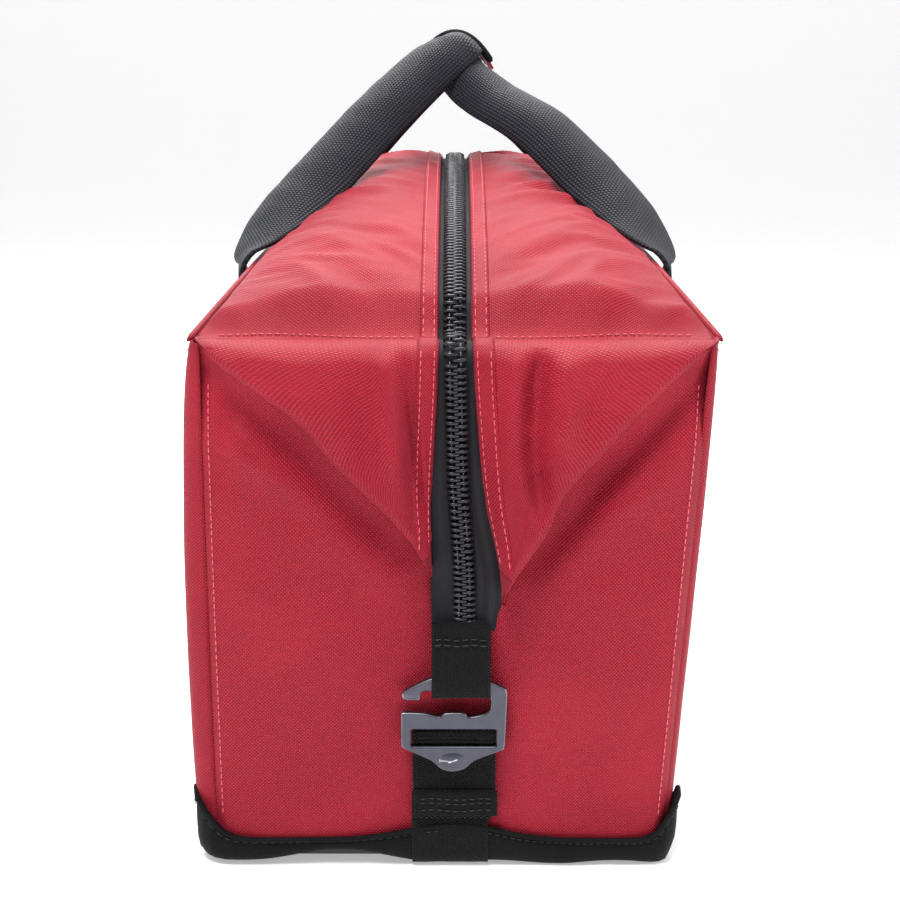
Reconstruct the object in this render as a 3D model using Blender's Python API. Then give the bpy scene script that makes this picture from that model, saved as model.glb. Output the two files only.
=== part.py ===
"""Soft zip-top sports bag with end ears, G-hooks and webbing handles.

Metres, +Z up. Length runs along Y, width along X, the near end is at -Y.
The floor is z = 0 and the bag is centred on the origin.
"""

import math

import bpy
import bmesh
from mathutils import Vector
from mathutils.geometry import tessellate_polygon

# Body
HALF_LENGTH = 0.254
BASE_HALF_WIDTH = 0.111
SHOULDER_HALF_WIDTH = 0.120
SHOULDER_HEIGHT = 0.253
MID_SHOULDER_RISE = 0.039
MID_SHOULDER_PINCH = 0.030
RIDGE_HEIGHT = 0.3245
CORNER_RADIUS = 0.008
TOP_ARCH_POWER = 2.25
SIDE_POWER = 10

# Layers
GAP = 0.0003
FABRIC = 0.0015
FOAM = 0.008
LINER = 0.001
BOOT_WALL = 0.0015
BOOT_HEIGHT = 0.018

# Mouth
LID_HALF_WIDTH = 0.0850
LID_HALF_LENGTH = 0.250
HEM_EDGE = 0.0078
TAPE_EDGE = 0.0215
COIL_WIDTH = 0.0052
COIL_HEIGHT = 0.0027
RIM_AXIS_X = 0.1120
RIM_AXIS_Z = 0.2680

# Slider
SLIDER_Y = 0.228
SLIDER_LENGTH = 0.016
SLIDER_HALF_WIDTH = 0.0074
PULL_LENGTH = 0.034
PULL_WIDTH = 0.009

# Ears
EAR_FACE = 0.2545
EAR_THICKNESS = 0.0045
EAR_TOP = 0.2520
ZIP_END_Z = 0.1215

# Webbing and handles
WEB_WIDTH = 0.038
WEB_THICKNESS = 0.0026
LEG_Y = 0.137
GRIP_HALF_LENGTH = 0.034
GRIP_Z = 0.3930
GRIP_DOME = 0.010
GRIP_CHORD = 0.030
HANDLE_AXIS_X = 0.1190
HANDLE_AXIS_Z = 0.2690
PALM_X = 0.0080
PALM_Z = 0.3882
PALM_DOME = 0.0005
PALM_CHORD = 0.0140

# Hook
HOOK_BACK = 0.2622
HOOK_THICKNESS = 0.004
HOOK_BAR_Y = 0.2616
HOOK_BAR_Z = 0.0689
HOOK_BAR_RADIUS = 0.0014
LOOP_HALF_WIDTH = 0.0193

RIDGE_RADIUS = (HALF_LENGTH**2 + (RIDGE_HEIGHT - SHOULDER_HEIGHT) ** 2) / (
    2 * (RIDGE_HEIGHT - SHOULDER_HEIGHT)
)
RIDGE_CENTRE_Z = RIDGE_HEIGHT - RIDGE_RADIUS


def material(name, colour, roughness, metallic=0.0):
    made = bpy.data.materials.new(name)
    made.use_nodes = True
    shader = made.node_tree.nodes["Principled BSDF"]
    shader.inputs["Base Color"].default_value = (*colour, 1.0)
    shader.inputs["Roughness"].default_value = roughness
    shader.inputs["Metallic"].default_value = metallic
    return made


def red_nylon():
    return material("red_nylon", (0.50, 0.026, 0.052), 0.62)


def black_webbing():
    return material("black_webbing", (0.030, 0.030, 0.042), 0.75)


def black_nylon():
    return material("black_nylon", (0.010, 0.010, 0.014), 0.70)


def zip_black():
    return material("zip_black", (0.018, 0.018, 0.024), 0.45)


def closed_foam():
    return material("closed_foam", (0.55, 0.55, 0.56), 0.90)


def board_plastic():
    return material("board_plastic", (0.05, 0.05, 0.055), 0.55)


def lining():
    return material("lining", (0.16, 0.010, 0.022), 0.60)


def cast_metal():
    return material("cast_metal", (0.38, 0.385, 0.42), 0.34, 1.0)


def mesh_object(name, points, faces, made, smooth=False):
    """One closed mesh object with its faces turned outward."""
    mesh = bpy.data.meshes.new(name)
    mesh.from_pydata([tuple(p) for p in points], [], faces)
    work = bmesh.new()
    work.from_mesh(mesh)
    bmesh.ops.remove_doubles(work, verts=work.verts, dist=1e-6)
    bmesh.ops.recalc_face_normals(work, faces=work.faces)
    bmesh.ops.triangulate(work, faces=[f for f in work.faces if len(f.verts) > 4])
    work.to_mesh(mesh)
    work.free()
    mesh.materials.append(made)
    for face in mesh.polygons:
        face.use_smooth = smooth
    placed = bpy.data.objects.new(name, mesh)
    bpy.context.scene.collection.objects.link(placed)
    return placed


def slab(name, outer, inner, across, along, made):
    """A closed sheet between two surfaces, each a function of (u, v) from 0 to 1."""
    points = []
    for surface in (outer, inner):
        for i in range(across + 1):
            for j in range(along + 1):
                points.append(surface(i / across, j / along))
    row = along + 1
    back = (across + 1) * row
    faces = []
    for i in range(across):
        for j in range(along):
            a = i * row + j
            faces.append((a, a + row, a + row + 1, a + 1))
            faces.append((back + a, back + a + 1, back + a + row + 1, back + a + row))
    for i in range(across):
        for j in (0, along):
            a = i * row + j
            faces.append((a, a + row, back + a + row, back + a))
    for j in range(along):
        for i in (0, across):
            a = i * row + j
            faces.append((a, a + 1, back + a + 1, back + a))
    return mesh_object(name, points, faces, made, True)


def ring_solid(name, rings, made, smooth=False):
    """Skins a run of rings with the same number of points and caps both ends."""
    count = len(rings[0])
    points = [p for ring in rings for p in ring]
    faces = []
    for k in range(len(rings) - 1):
        for i in range(count):
            j = (i + 1) % count
            faces.append(
                (k * count + i, k * count + j, (k + 1) * count + j, (k + 1) * count + i)
            )
    faces.append(tuple(range(count)))
    faces.append(tuple((len(rings) - 1) * count + i for i in range(count)))
    return mesh_object(name, points, faces, made, smooth)


def plate(name, outline, holes, place, low, high, made):
    """A flat plate with holes: place(a, b, depth) puts outline point (a, b) in space."""
    loops = [outline] + holes
    flat = [Vector((a, b, 0.0)) for loop in loops for a, b in loop]
    triangles = tessellate_polygon([[Vector((a, b, 0.0)) for a, b in loop] for loop in loops])
    points = [place(p.x, p.y, low) for p in flat] + [place(p.x, p.y, high) for p in flat]
    back = len(flat)
    faces = [tuple(t) for t in triangles]
    faces += [tuple(back + i for i in t) for t in triangles]
    start = 0
    for loop in loops:
        for i in range(len(loop)):
            a = start + i
            b = start + (i + 1) % len(loop)
            faces.append((a, b, back + b, back + a))
        start += len(loop)
    return mesh_object(name, points, faces, made)


def wall_rows(v):
    """Rows set closer together towards the top of a wall, where it curves."""
    return 1.0 - (1.0 - v) ** 2


def end_fraction(y):
    """1 at mid-length and 0 at the two ends."""
    return max(0.0, 1.0 - (y / HALF_LENGTH) ** 2)


def shoulder_x(y):
    return SHOULDER_HALF_WIDTH - MID_SHOULDER_PINCH * end_fraction(y)


def shoulder_z(y):
    return SHOULDER_HEIGHT + MID_SHOULDER_RISE * end_fraction(y)


def ridge_z(y):
    return RIDGE_CENTRE_Z + math.sqrt(RIDGE_RADIUS**2 - y * y)


def top_z(x, y):
    fall = ridge_z(y) - shoulder_z(y)
    return ridge_z(y) - fall * (abs(x) / shoulder_x(y)) ** TOP_ARCH_POWER


def side_x(y, z):
    q = min(1.0, z / shoulder_z(y))
    straight = BASE_HALF_WIDTH + (SHOULDER_HALF_WIDTH - BASE_HALF_WIDTH) * q
    return straight - (SHOULDER_HALF_WIDTH - shoulder_x(y)) * q**SIDE_POWER


def plan_point(side, u, z, inset):
    """A point of the side panel's outline at height z, wrapping both end corners."""
    radius = CORNER_RADIUS
    turn = 0.12
    if u < turn:
        angle = (1.0 - u / turn) * math.pi / 2
        y = -HALF_LENGTH + radius - (radius - inset) * math.sin(angle)
        x = side_x(y, z) - radius + (radius - inset) * math.cos(angle)
    elif u > 1.0 - turn:
        angle = (1.0 - (1.0 - u) / turn) * math.pi / 2
        y = HALF_LENGTH - radius + (radius - inset) * math.sin(angle)
        x = side_x(y, z) - radius + (radius - inset) * math.cos(angle)
    else:
        y = (-1.0 + 2.0 * (u - turn) / (1.0 - 2.0 * turn)) * (HALF_LENGTH - radius)
        x = side_x(y, z) - inset
    return Vector((side * x, y, z))


def side_panel(name, side, made):
    bottom = 0.0026

    def surface(inset):
        def point(u, v):
            y = plan_point(side, u, 0.1, 0.0).y
            rise = shoulder_z(y) - 0.0022 - bottom
            return plan_point(side, u, bottom + wall_rows(v) * rise, inset)

        return point

    return slab(name, surface(0.0), surface(FABRIC), 25, 10, made)


def end_panel(name, end, made):
    bottom = 0.0026

    def surface(inset):
        def point(u, v):
            z = bottom + v * (SHOULDER_HEIGHT - 0.0008 - bottom)
            half = side_x(HALF_LENGTH, z) - CORNER_RADIUS - 3 * GAP
            return Vector(((2 * u - 1) * half, end * (HALF_LENGTH - inset), z))

        return point

    return slab(name, surface(0.0), surface(FABRIC), 8, 6, made)


def side_foam(name, side, made):
    bottom = 0.0122
    reach = HALF_LENGTH - FABRIC - FOAM - 3 * GAP

    def surface(inset):
        def point(u, v):
            y = (2 * u - 1) * reach
            z = bottom + wall_rows(v) * (shoulder_z(y) - 0.006 - bottom)
            return Vector((side * (side_x(y, z) - inset), y, z))

        return point

    near = FABRIC + 0.0012
    return slab(name, surface(near), surface(near + FOAM), 18, 10, made)


def end_foam(name, end, made):
    bottom = 0.0122

    def surface(inset):
        def point(u, v):
            z = bottom + v * (SHOULDER_HEIGHT - 0.005 - bottom)
            half = side_x(HALF_LENGTH - inset, z) - CORNER_RADIUS - 0.001
            return Vector(((2 * u - 1) * half, end * (HALF_LENGTH - inset), z))

        return point

    near = FABRIC + GAP
    return slab(name, surface(near), surface(near + FOAM), 8, 6, made)


def rounded_box(half_x, half_y, radius, z, steps=3):
    """A closed ring at height z with rounded corners."""
    ring = []
    for sx, sy, start in ((1, 1, 0), (-1, 1, 90), (-1, -1, 180), (1, -1, 270)):
        for k in range(steps + 1):
            angle = math.radians(start + 90 * k / steps)
            ring.append(
                Vector(
                    (
                        sx * (half_x - radius) + radius * math.cos(angle),
                        sy * (half_y - radius) + radius * math.sin(angle),
                        z,
                    )
                )
            )
    return ring


def bottom_boot(made):
    """The tray that closes the underside and wraps up the lower edge."""
    out_x = BASE_HALF_WIDTH + GAP + BOOT_WALL
    out_y = HALF_LENGTH + GAP + BOOT_WALL
    flare = 0.0008
    floor = 0.0022
    outside = CORNER_RADIUS + 0.0005
    inside = CORNER_RADIUS - 0.001
    rings = [
        rounded_box(out_x - 0.002, out_y - 0.002, outside, 0.0),
        rounded_box(out_x, out_y, outside, 0.002),
        rounded_box(out_x + flare, out_y, outside, BOOT_HEIGHT),
        rounded_box(out_x + flare - BOOT_WALL, out_y - BOOT_WALL, inside, BOOT_HEIGHT),
        rounded_box(out_x - BOOT_WALL, out_y - BOOT_WALL, inside, floor),
    ]
    return ring_solid("bottom_boot", rings, made)


def flat_sheet(name, inset, low, high, made):
    half_x = BASE_HALF_WIDTH - inset
    half_y = HALF_LENGTH - inset
    rings = [
        rounded_box(half_x, half_y, 0.010, low),
        rounded_box(half_x, half_y, 0.010, high),
    ]
    return ring_solid(name, rings, made)


def inner_liner(made):
    """The tub of thin lining inside the foam, open at the top."""
    inset = FABRIC + FOAM + 0.0024
    low = 0.0122
    top = 0.2440

    def ring(z, more):
        half_y = HALF_LENGTH - inset - more
        half_x = side_x(0.0, z) - inset - more
        return rounded_box(half_x, half_y, 0.012, z)

    heights = [low + (top - low) * wall_rows(k / 8) for k in range(9)]
    rings = [ring(z, 0.0) for z in heights]
    rings += [ring(max(z, low + LINER), LINER) for z in reversed(heights)]
    return ring_solid("inner_liner", rings, made)


def top_border(name, side, made):
    """The fixed strip between the shoulder seam and the moving top half."""
    inner_edge = LID_HALF_WIDTH + 0.0008

    def surface(depth):
        def point(u, v):
            y = (2 * u - 1) * (HALF_LENGTH - 0.002)
            outer = shoulder_x(y) - 0.0004
            x = outer + v * (inner_edge - outer)
            return Vector((side * x, y, top_z(x, y) - depth))

        return point

    return slab(name, surface(0.0), surface(FABRIC), 24, 3, made)


def top_half(name, side, made):
    """One half of the fabric top, from its fold line to its hem along the zip."""

    def surface(depth):
        def point(u, v):
            y = (2 * u - 1) * LID_HALF_LENGTH
            x = LID_HALF_WIDTH + v * (HEM_EDGE - LID_HALF_WIDTH)
            return Vector((side * x, y, top_z(x, y) - depth))

        return point

    return pivot(slab(name, surface(0.0), surface(FABRIC), 20, 8, made), rim_axis(side))


def zip_tape(name, side, made):
    def surface(depth):
        def point(u, v):
            y = (2 * u - 1) * LID_HALF_LENGTH
            x = TAPE_EDGE + v * (0.0004 - TAPE_EDGE)
            return Vector((side * x, y, top_z(x, y) - depth))

        return point

    low = FABRIC + GAP
    return pivot(slab(name, surface(low), surface(low + 0.001), 20, 2, made), rim_axis(side))


def zip_coil(name, side, made):
    def surface(depth):
        def point(u, v):
            y = (2 * u - 1) * LID_HALF_LENGTH
            x = 0.0004 + v * COIL_WIDTH
            return Vector((side * x, y, top_z(x, y) - depth))

        return point

    low = FABRIC
    return pivot(slab(name, surface(low - COIL_HEIGHT), surface(low), 20, 2, made), rim_axis(side))


def rim_axis(side):
    return Vector((side * RIM_AXIS_X, 0.0, RIM_AXIS_Z))


def handle_axis(side):
    return Vector((side * HANDLE_AXIS_X, 0.0, HANDLE_AXIS_Z))


def pivot(placed, point):
    """Moves the object's origin to the point without moving its shape."""
    for vertex in placed.data.vertices:
        vertex.co -= point
    placed.location = point
    return placed


def on_ridge(y, x, lift):
    """A point lifted square off the ridge arc at length position y."""
    away = Vector((0.0, y, ridge_z(y) - RIDGE_CENTRE_Z)).normalized()
    return Vector((x, y, ridge_z(y))) + away * lift


def zip_slider(made):
    """A channel that straddles the coils, with a bridge for the pull tab."""
    low = -0.0010
    roof = COIL_HEIGHT - FABRIC + 0.0004
    top = roof + 0.0022
    wide = SLIDER_HALF_WIDTH
    thin = wide - 0.0012
    profile = [(-wide, low), (-wide, top), (wide, top), (wide, low)]
    profile += [(thin, low), (thin, roof), (-thin, roof), (-thin, low)]
    rings = []
    for k in range(5):
        y = SLIDER_Y + SLIDER_LENGTH * (k / 4 - 0.5)
        rings.append([on_ridge(y, x, lift) for x, lift in profile])
    body = ring_solid("zip_slider", rings, made)
    bridge = slider_bridge(top, made)
    join = body.modifiers.new("bridge", "BOOLEAN")
    join.operation = "UNION"
    join.solver = "EXACT"
    join.object = bridge
    return body


def slider_bridge(top, made):
    """An arch along the slider that the pull tab hangs from."""
    half = 0.0050
    leg = 0.0018
    high = top + 0.0044
    under = top + 0.0028
    outline = [(-half, top - 0.0006), (-half, under), (-half + leg, high)]
    outline += [(half - leg, high), (half, under), (half, top - 0.0006)]
    outline += [(half - leg, top - 0.0006), (half - leg, under)]
    outline += [(-half + leg, under), (-half + leg, top - 0.0006)]

    def place(along, lift, depth):
        return on_ridge(SLIDER_Y + along, depth, lift)

    bridge = plate("slider_bridge_cutter", outline, [], place, -0.0011, 0.0011, made)
    bridge.hide_render = True
    bridge.display_type = "WIRE"
    return bridge


def pull_axis():
    lift = COIL_HEIGHT - FABRIC + 0.0004 + 0.0022 + 0.0014
    return on_ridge(SLIDER_Y - 0.0010, 0.0, lift)


def pull_tab(made):
    """A flat tab whose end bar passes under the slider's bridge."""
    half = PULL_WIDTH / 2
    outline = [(0.0006, -half + 0.001), (0.0, -half), (-PULL_LENGTH + 0.002, -half * 0.75)]
    outline += [(-PULL_LENGTH, -half * 0.4), (-PULL_LENGTH, half * 0.4)]
    outline += [(-PULL_LENGTH + 0.002, half * 0.75), (0.0, half), (0.0006, half - 0.001)]
    slot = [(-0.0009, -0.0028), (-0.0085, -0.0028), (-0.0085, 0.0028), (-0.0009, 0.0028)]
    axis = pull_axis()
    slope = Vector((0.0, -(ridge_z(axis.y) - RIDGE_CENTRE_Z), axis.y)).normalized()
    lift = Vector((0.0, axis.y, ridge_z(axis.y) - RIDGE_CENTRE_Z)).normalized()

    def place(along, x, depth):
        return axis - slope * along + Vector((x, 0.0, 0.0)) + lift * depth

    return pivot(plate("pull_tab", outline, [slot], place, -0.0006, 0.0006, made), axis)


def ear_outline():
    """The folded ear seen from the end: a triangle whose tip runs to the zip's end."""
    right = [(0.1165, EAR_TOP), (0.1040, 0.2440), (0.0860, 0.2300), (0.0700, 0.2155)]
    right += [(0.0565, 0.2030), (0.0450, 0.1850), (0.0310, 0.1700), (0.0185, 0.1500)]
    right += [(0.0165, ZIP_END_Z)]
    return right + [(-x, z) for x, z in reversed(right)]


def end_place(end):
    """Maps (across, height, distance out) at one end; across runs with the viewer there."""

    def place(a, b, depth):
        return Vector((-end * a, end * depth, b))

    return place


def ear_axis(end):
    return Vector((0.0, end * HALF_LENGTH, SHOULDER_HEIGHT))


def ear_panel(name, end, made):
    low = EAR_FACE
    made_plate = plate(
        name, ear_outline(), [], end_place(end), low, low + EAR_THICKNESS, made
    )
    return pivot(made_plate, ear_axis(end))


def ear_strip(name, end, half, low, high, made):
    outline = [(-half, EAR_TOP), (half, EAR_TOP), (half, ZIP_END_Z), (-half, ZIP_END_Z)]
    return pivot(plate(name, outline, [], end_place(end), low, high, made), ear_axis(end))


def side_place(end):
    """Maps (distance out, height, across) at one end for loops seen from the side."""

    def place(a, b, depth):
        return Vector((-end * depth, end * a, b))

    return place


def end_tab(name, end, made):
    """The webbing tab sewn on the zip's end and looped over the hook's arm."""
    front = HOOK_BACK + HOOK_THICKNESS
    outline = [(0.2607, 0.1209), (0.2640, 0.1209), (front + 0.0020, 0.1045)]
    outline += [(front + 0.0020, 0.0912), (front + 0.0012, 0.0901), (HOOK_BACK - 0.0012, 0.0901)]
    outline += [(HOOK_BACK - 0.0018, 0.0912), (HOOK_BACK - 0.0018, 0.1045)]
    hole = [(HOOK_BACK - 0.0004, 0.0918), (front + 0.0004, 0.0918)]
    hole += [(front + 0.0004, 0.1008), (HOOK_BACK + 0.0010, 0.1045), (HOOK_BACK - 0.0004, 0.1008)]
    placed = plate(name, outline, [hole], side_place(end), -0.0112, 0.0136, made)
    return pivot(placed, ear_axis(end))


def hook_outline():
    """The G-hook seen from the front, starting at the tip and going clockwise."""
    points = [(-0.0249, 0.0915), (-0.0105, 0.0990), (0.0020, 0.1003), (0.0148, 0.0977)]
    points += [(0.0240, 0.0931), (0.0247, 0.0913), (0.0236, 0.0640), (0.0228, 0.0629)]
    points += [(0.0093, 0.0577), (0.0048, 0.0533), (-0.0012, 0.0518), (-0.0066, 0.0533)]
    points += [(-0.0108, 0.0577), (-0.0240, 0.0635), (-0.0251, 0.0649), (-0.0250, 0.0810)]
    points += [(-0.0244, 0.0816), (-0.0140, 0.0813), (-0.0070, 0.0793), (-0.0048, 0.0815)]
    points += [(0.0047, 0.0815), (0.0065, 0.0791), (0.0140, 0.0808), (0.0166, 0.0833)]
    points += [(0.0170, 0.0871), (0.0160, 0.0905), (0.0138, 0.0923), (-0.0142, 0.0923)]
    points += [(-0.0158, 0.0910), (-0.0161, 0.0882), (-0.0168, 0.0876), (-0.0240, 0.0878)]
    return points


def hook_slot():
    return [(-0.0206, 0.0645), (-0.0206, 0.0734), (0.0198, 0.0734), (0.0198, 0.0645)]


def drop_axis(end):
    """The line where the hook's loop bends away from the panel."""
    return Vector((0.0, end * 0.2616, 0.0392))


def g_hook(name, end, made):
    high = HOOK_BACK + HOOK_THICKNESS
    hook = plate(name, hook_outline(), [hook_slot()], end_place(end), HOOK_BACK, high, made)
    bar = hook_bar(name + "_bar_cutter", end, made)
    join = hook.modifiers.new("bar", "BOOLEAN")
    join.operation = "UNION"
    join.solver = "EXACT"
    join.object = bar
    pivot(hook, drop_axis(end))
    return hook


def hook_bar(name, end, made):
    """The cross bar at the back of the slot that the webbing turns round."""
    rings = []
    for x in (-0.0222, 0.0214):
        ring = []
        for k in range(10):
            angle = 2 * math.pi * k / 10
            out = HOOK_BAR_Y + HOOK_BAR_RADIUS * math.cos(angle)
            up = HOOK_BAR_Z + HOOK_BAR_RADIUS * math.sin(angle)
            ring.append(Vector((-end * x, end * out, up)))
        rings.append(ring)
    bar = ring_solid(name, rings, made)
    bar.hide_render = True
    bar.display_type = "WIRE"
    return bar


def hook_loop(name, end, made):
    """Webbing doubled round the hook's bar, free above the sewn strap."""
    outer = HOOK_BAR_RADIUS + 0.0021
    tail_front = 0.2614
    tail_back = 0.2584
    outline = [(tail_front, 0.0396), (tail_front, 0.0643)]
    for k in range(9):
        angle = math.radians(-30 + 240 * k / 8)
        outline.append((HOOK_BAR_Y + outer * math.cos(angle), HOOK_BAR_Z + outer * math.sin(angle)))
    outline += [(tail_back, 0.0641), (tail_back, 0.0396)]
    hole = []
    for k in range(12):
        angle = 2 * math.pi * k / 12
        reach = HOOK_BAR_RADIUS + 0.0007
        hole.append((HOOK_BAR_Y + reach * math.cos(angle), HOOK_BAR_Z + reach * math.sin(angle)))
    half = LOOP_HALF_WIDTH
    placed = plate(name, outline, [hole], side_place(end), -half, half, made)
    return pivot(placed, drop_axis(end))


def hook_strap(name, end, made):
    """The sewn foot of the hook's webbing, over the boot and up the end panel."""
    outline = [(0.2562, 0.0035), (0.2562, 0.0385), (0.2612, 0.0385)]
    outline += [(0.2612, 0.0280), (0.2582, 0.0280), (0.2582, 0.0035)]
    half = LOOP_HALF_WIDTH
    return plate(name, outline, [], side_place(end), -half, half, made)


def side_strap(name, side, end, made):
    """The sewn lower leg of a handle, flat on the side panel."""
    bottom = BOOT_HEIGHT + 0.001
    top = RIM_AXIS_Z - 0.0045

    def surface(lift):
        def point(u, v):
            y = end * LEG_Y + (u - 0.5) * WEB_WIDTH
            z = bottom + wall_rows(v) * (top - bottom)
            return Vector((side * (side_x(y, z) + lift), y, z))

        return point

    return slab(name, surface(0.0007 + WEB_THICKNESS), surface(0.0007), 2, 12, made)


def handle_stations():
    """Centre, width direction, chord and dome of a left handle from its leg to the grip."""
    table = [
        (0.0000, (-0.1104, -0.1370, 0.2703), (0.00, 1.00, 0.00), WEB_WIDTH, 0.0000),
        (0.0900, (-0.1090, -0.1360, 0.2810), (-0.20, 0.95, 0.08), WEB_WIDTH, 0.0004),
        (0.2300, (-0.0925, -0.1210, 0.3020), (-0.60, 0.72, 0.25), WEB_WIDTH, 0.0020),
        (0.3800, (-0.0715, -0.1030, 0.3225), (-0.76, 0.50, 0.36), 0.0370, 0.0035),
        (0.5800, (-0.0435, -0.0800, 0.3525), (-0.84, 0.36, 0.38), 0.0350, 0.0045),
        (0.7500, (-0.0235, -0.0610, 0.3735), (-0.95, 0.18, 0.15), 0.0290, 0.0030),
        (0.8500, (-0.0130, -0.0485, 0.3845), (-0.94, 0.08, -0.25), 0.0210, 0.0020),
        (0.9200, (-PALM_X, -0.0365, PALM_Z), (-0.82, 0.00, -0.57), PALM_CHORD, PALM_DOME),
        (1.0000, (-PALM_X, 0.0000, PALM_Z), (-0.82, 0.00, -0.57), PALM_CHORD, PALM_DOME),
    ]
    return [(s, Vector(c), Vector(w), chord, dome) for s, c, w, chord, dome in table]


def blend_between(before, after, share):
    return before + (after - before) * share


def handle_station(s):
    """The smooth in-between of the stations at s from 0 (leg) to 1 (middle of the grip)."""
    rows = handle_stations()
    for k in range(len(rows) - 1):
        if s <= rows[k + 1][0] or k == len(rows) - 2:
            share = (s - rows[k][0]) / (rows[k + 1][0] - rows[k][0])
            before = rows[max(k - 1, 0)]
            after = rows[min(k + 2, len(rows) - 1)]
            start_slope = (rows[k + 1][1] - before[1]) * 0.5
            end_slope = (after[1] - rows[k][1]) * 0.5
            t2 = share * share
            t3 = t2 * share
            centre = rows[k][1] * (2 * t3 - 3 * t2 + 1) + start_slope * (t3 - 2 * t2 + share)
            centre += rows[k + 1][1] * (3 * t2 - 2 * t3) + end_slope * (t3 - t2)
            width = blend_between(rows[k][2], rows[k + 1][2], share).normalized()
            chord = blend_between(rows[k][3], rows[k + 1][3], share)
            dome = blend_between(rows[k][4], rows[k + 1][4], share)
            return centre, width, chord, dome
    return rows[-1][1:]


def stack_drop(s):
    """How far the right handle hangs below the left one on the way to the grip."""
    steps = [(0.0, 0.0), (0.55, 0.0), (0.76, 0.0110), (0.86, 0.0060), (0.93, 0.0)]
    for (s0, d0), (s1, d1) in zip(steps, steps[1:]):
        if s <= s1:
            return d0 + (d1 - d0) * (s - s0) / (s1 - s0)
    return 0.0


def handle_half(count, under):
    """Rings of a left handle from its near leg to the middle of the grip."""
    rings = []
    for k in range(count + 1):
        s = k / count
        centre, width, chord, dome = handle_station(s)
        centre = centre - Vector((0.0, 0.0, stack_drop(s) * under))
        ahead = handle_station(min(1.0, s + 0.01))[0] - handle_station(max(0.0, s - 0.01))[0]
        tangent = ahead.normalized()
        width = (width - tangent * width.dot(tangent)).normalized()
        face = tangent.cross(width)
        rings.append(strap_ring(centre, width, face, chord, dome))
    return rings


def strap_ring(centre, width, face, chord, dome):
    """A domed strip cross-section: the outer side from edge to edge, then the inner side."""
    cells = 4
    ring = []
    for lift, order in ((WEB_THICKNESS / 2, 1), (-WEB_THICKNESS / 2, -1)):
        for k in range(cells + 1)[::order]:
            s = 2 * k / cells - 1
            middle = centre + width * (s * chord / 2) - face * (dome * s * s)
            slope = 4 * dome * s / chord
            normal = (face + width * slope).normalized()
            ring.append(middle + normal * lift)
    return ring


def handle(name, side, made):
    near = handle_half(24, 1.0 if side > 0 else 0.0)
    far = [[Vector((p.x, -p.y, p.z)) for p in ring] for ring in reversed(near[:-1])]
    rings = [[Vector((-side * p.x, p.y, p.z)) for p in ring] for ring in near + far]
    return pivot(ring_solid(name, rings, made, True), handle_axis(side))


def wrap_surface(lift):
    """The grip wrap's arch at a distance outside the left strap's middle surface."""

    def point(u, v):
        s = (2 * u - 1) * 1.16
        y = (2 * v - 1) * (GRIP_HALF_LENGTH - 0.0050)
        x = GRIP_CHORD / 2 * s
        z = GRIP_Z - GRIP_DOME * s * s
        slope = 4 * GRIP_DOME * s / GRIP_CHORD
        length = math.sqrt(1 + slope * slope)
        return Vector((x + lift * slope / length, y, z + lift / length))

    return point


def grip_wrap(made):
    near = WEB_THICKNESS / 2 + 0.0010
    placed = slab("grip_wrap", wrap_surface(near + 0.0022), wrap_surface(near), 8, 4, made)
    return pivot(placed, handle_axis(-1))


def grip_binding(name, end, made):
    """The bound edge at each end of the grip wrap."""
    near = WEB_THICKNESS / 2 + 0.0010

    def edge(lift):
        base = wrap_surface(lift)

        def point(u, v):
            at = base(u, 0.5)
            at.y = end * (GRIP_HALF_LENGTH - 0.0045 + v * 0.0045)
            return at

        return point

    placed = slab(name, edge(near + 0.0028), edge(near), 8, 1, made)
    return pivot(placed, handle_axis(-1))


def build_shell():
    red = red_nylon()
    for name, side in (("left", -1), ("right", 1)):
        side_panel("side_panel_" + name, side, red)
        top_border("top_border_" + name, side, red)
    for name, end in (("near", -1), ("far", 1)):
        end_panel("end_panel_" + name, end, red)


def build_padding():
    foam = closed_foam()
    for name, side in (("left", -1), ("right", 1)):
        side_foam("side_foam_" + name, side, foam)
    for name, end in (("near", -1), ("far", 1)):
        end_foam("end_foam_" + name, end, foam)
    flat_sheet("base_foam", 0.004, 0.0058, 0.0118, foam)
    flat_sheet("base_board", 0.003, 0.0025, 0.0055, board_plastic())
    inner_liner(lining())


def build_mouth():
    red = red_nylon()
    black = zip_black()
    for name, side in (("left", -1), ("right", 1)):
        top_half("top_half_" + name, side, red)
        zip_tape("zip_tape_" + name, side, black)
        zip_coil("zip_coil_" + name, side, black)
    zip_slider(cast_metal())
    pull_tab(cast_metal())


def build_ends():
    red = red_nylon()
    black = zip_black()
    webbing = black_webbing()
    metal = cast_metal()
    for name, end in (("near", -1), ("far", 1)):
        ear_panel("ear_" + name, end, red)
        front = EAR_FACE + EAR_THICKNESS + GAP
        ear_strip("ear_tape_" + name, end, 0.0150, front, front + 0.0009, black)
        coil = front + 0.0009 + GAP
        ear_strip("ear_coil_" + name, end, 0.0056, coil, coil + COIL_HEIGHT, black)
        end_tab("end_tab_" + name, end, webbing)
        g_hook("g_hook_" + name, end, metal)
        hook_loop("hook_loop_" + name, end, webbing)
        hook_strap("hook_strap_" + name, end, webbing)


def build_handles():
    webbing = black_webbing()
    for name, side in (("left", -1), ("right", 1)):
        handle("handle_" + name, side, webbing)
        for where, end in (("near", -1), ("far", 1)):
            side_strap("side_strap_" + name + "_" + where, side, end, webbing)
    grip_wrap(red_nylon())
    for where, end in (("near", -1), ("far", 1)):
        grip_binding("grip_binding_" + where, end, black_nylon())


def main():
    for old in list(bpy.data.objects):
        bpy.data.objects.remove(old, do_unlink=True)
    bottom_boot(black_nylon())
    build_shell()
    build_padding()
    build_mouth()
    build_ends()
    build_handles()


main()
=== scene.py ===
"""A soft padded zip-top bag with folded ears, hooks and webbing handles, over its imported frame."""

import math

import bmesh
import bpy
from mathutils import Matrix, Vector, noise


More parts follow.
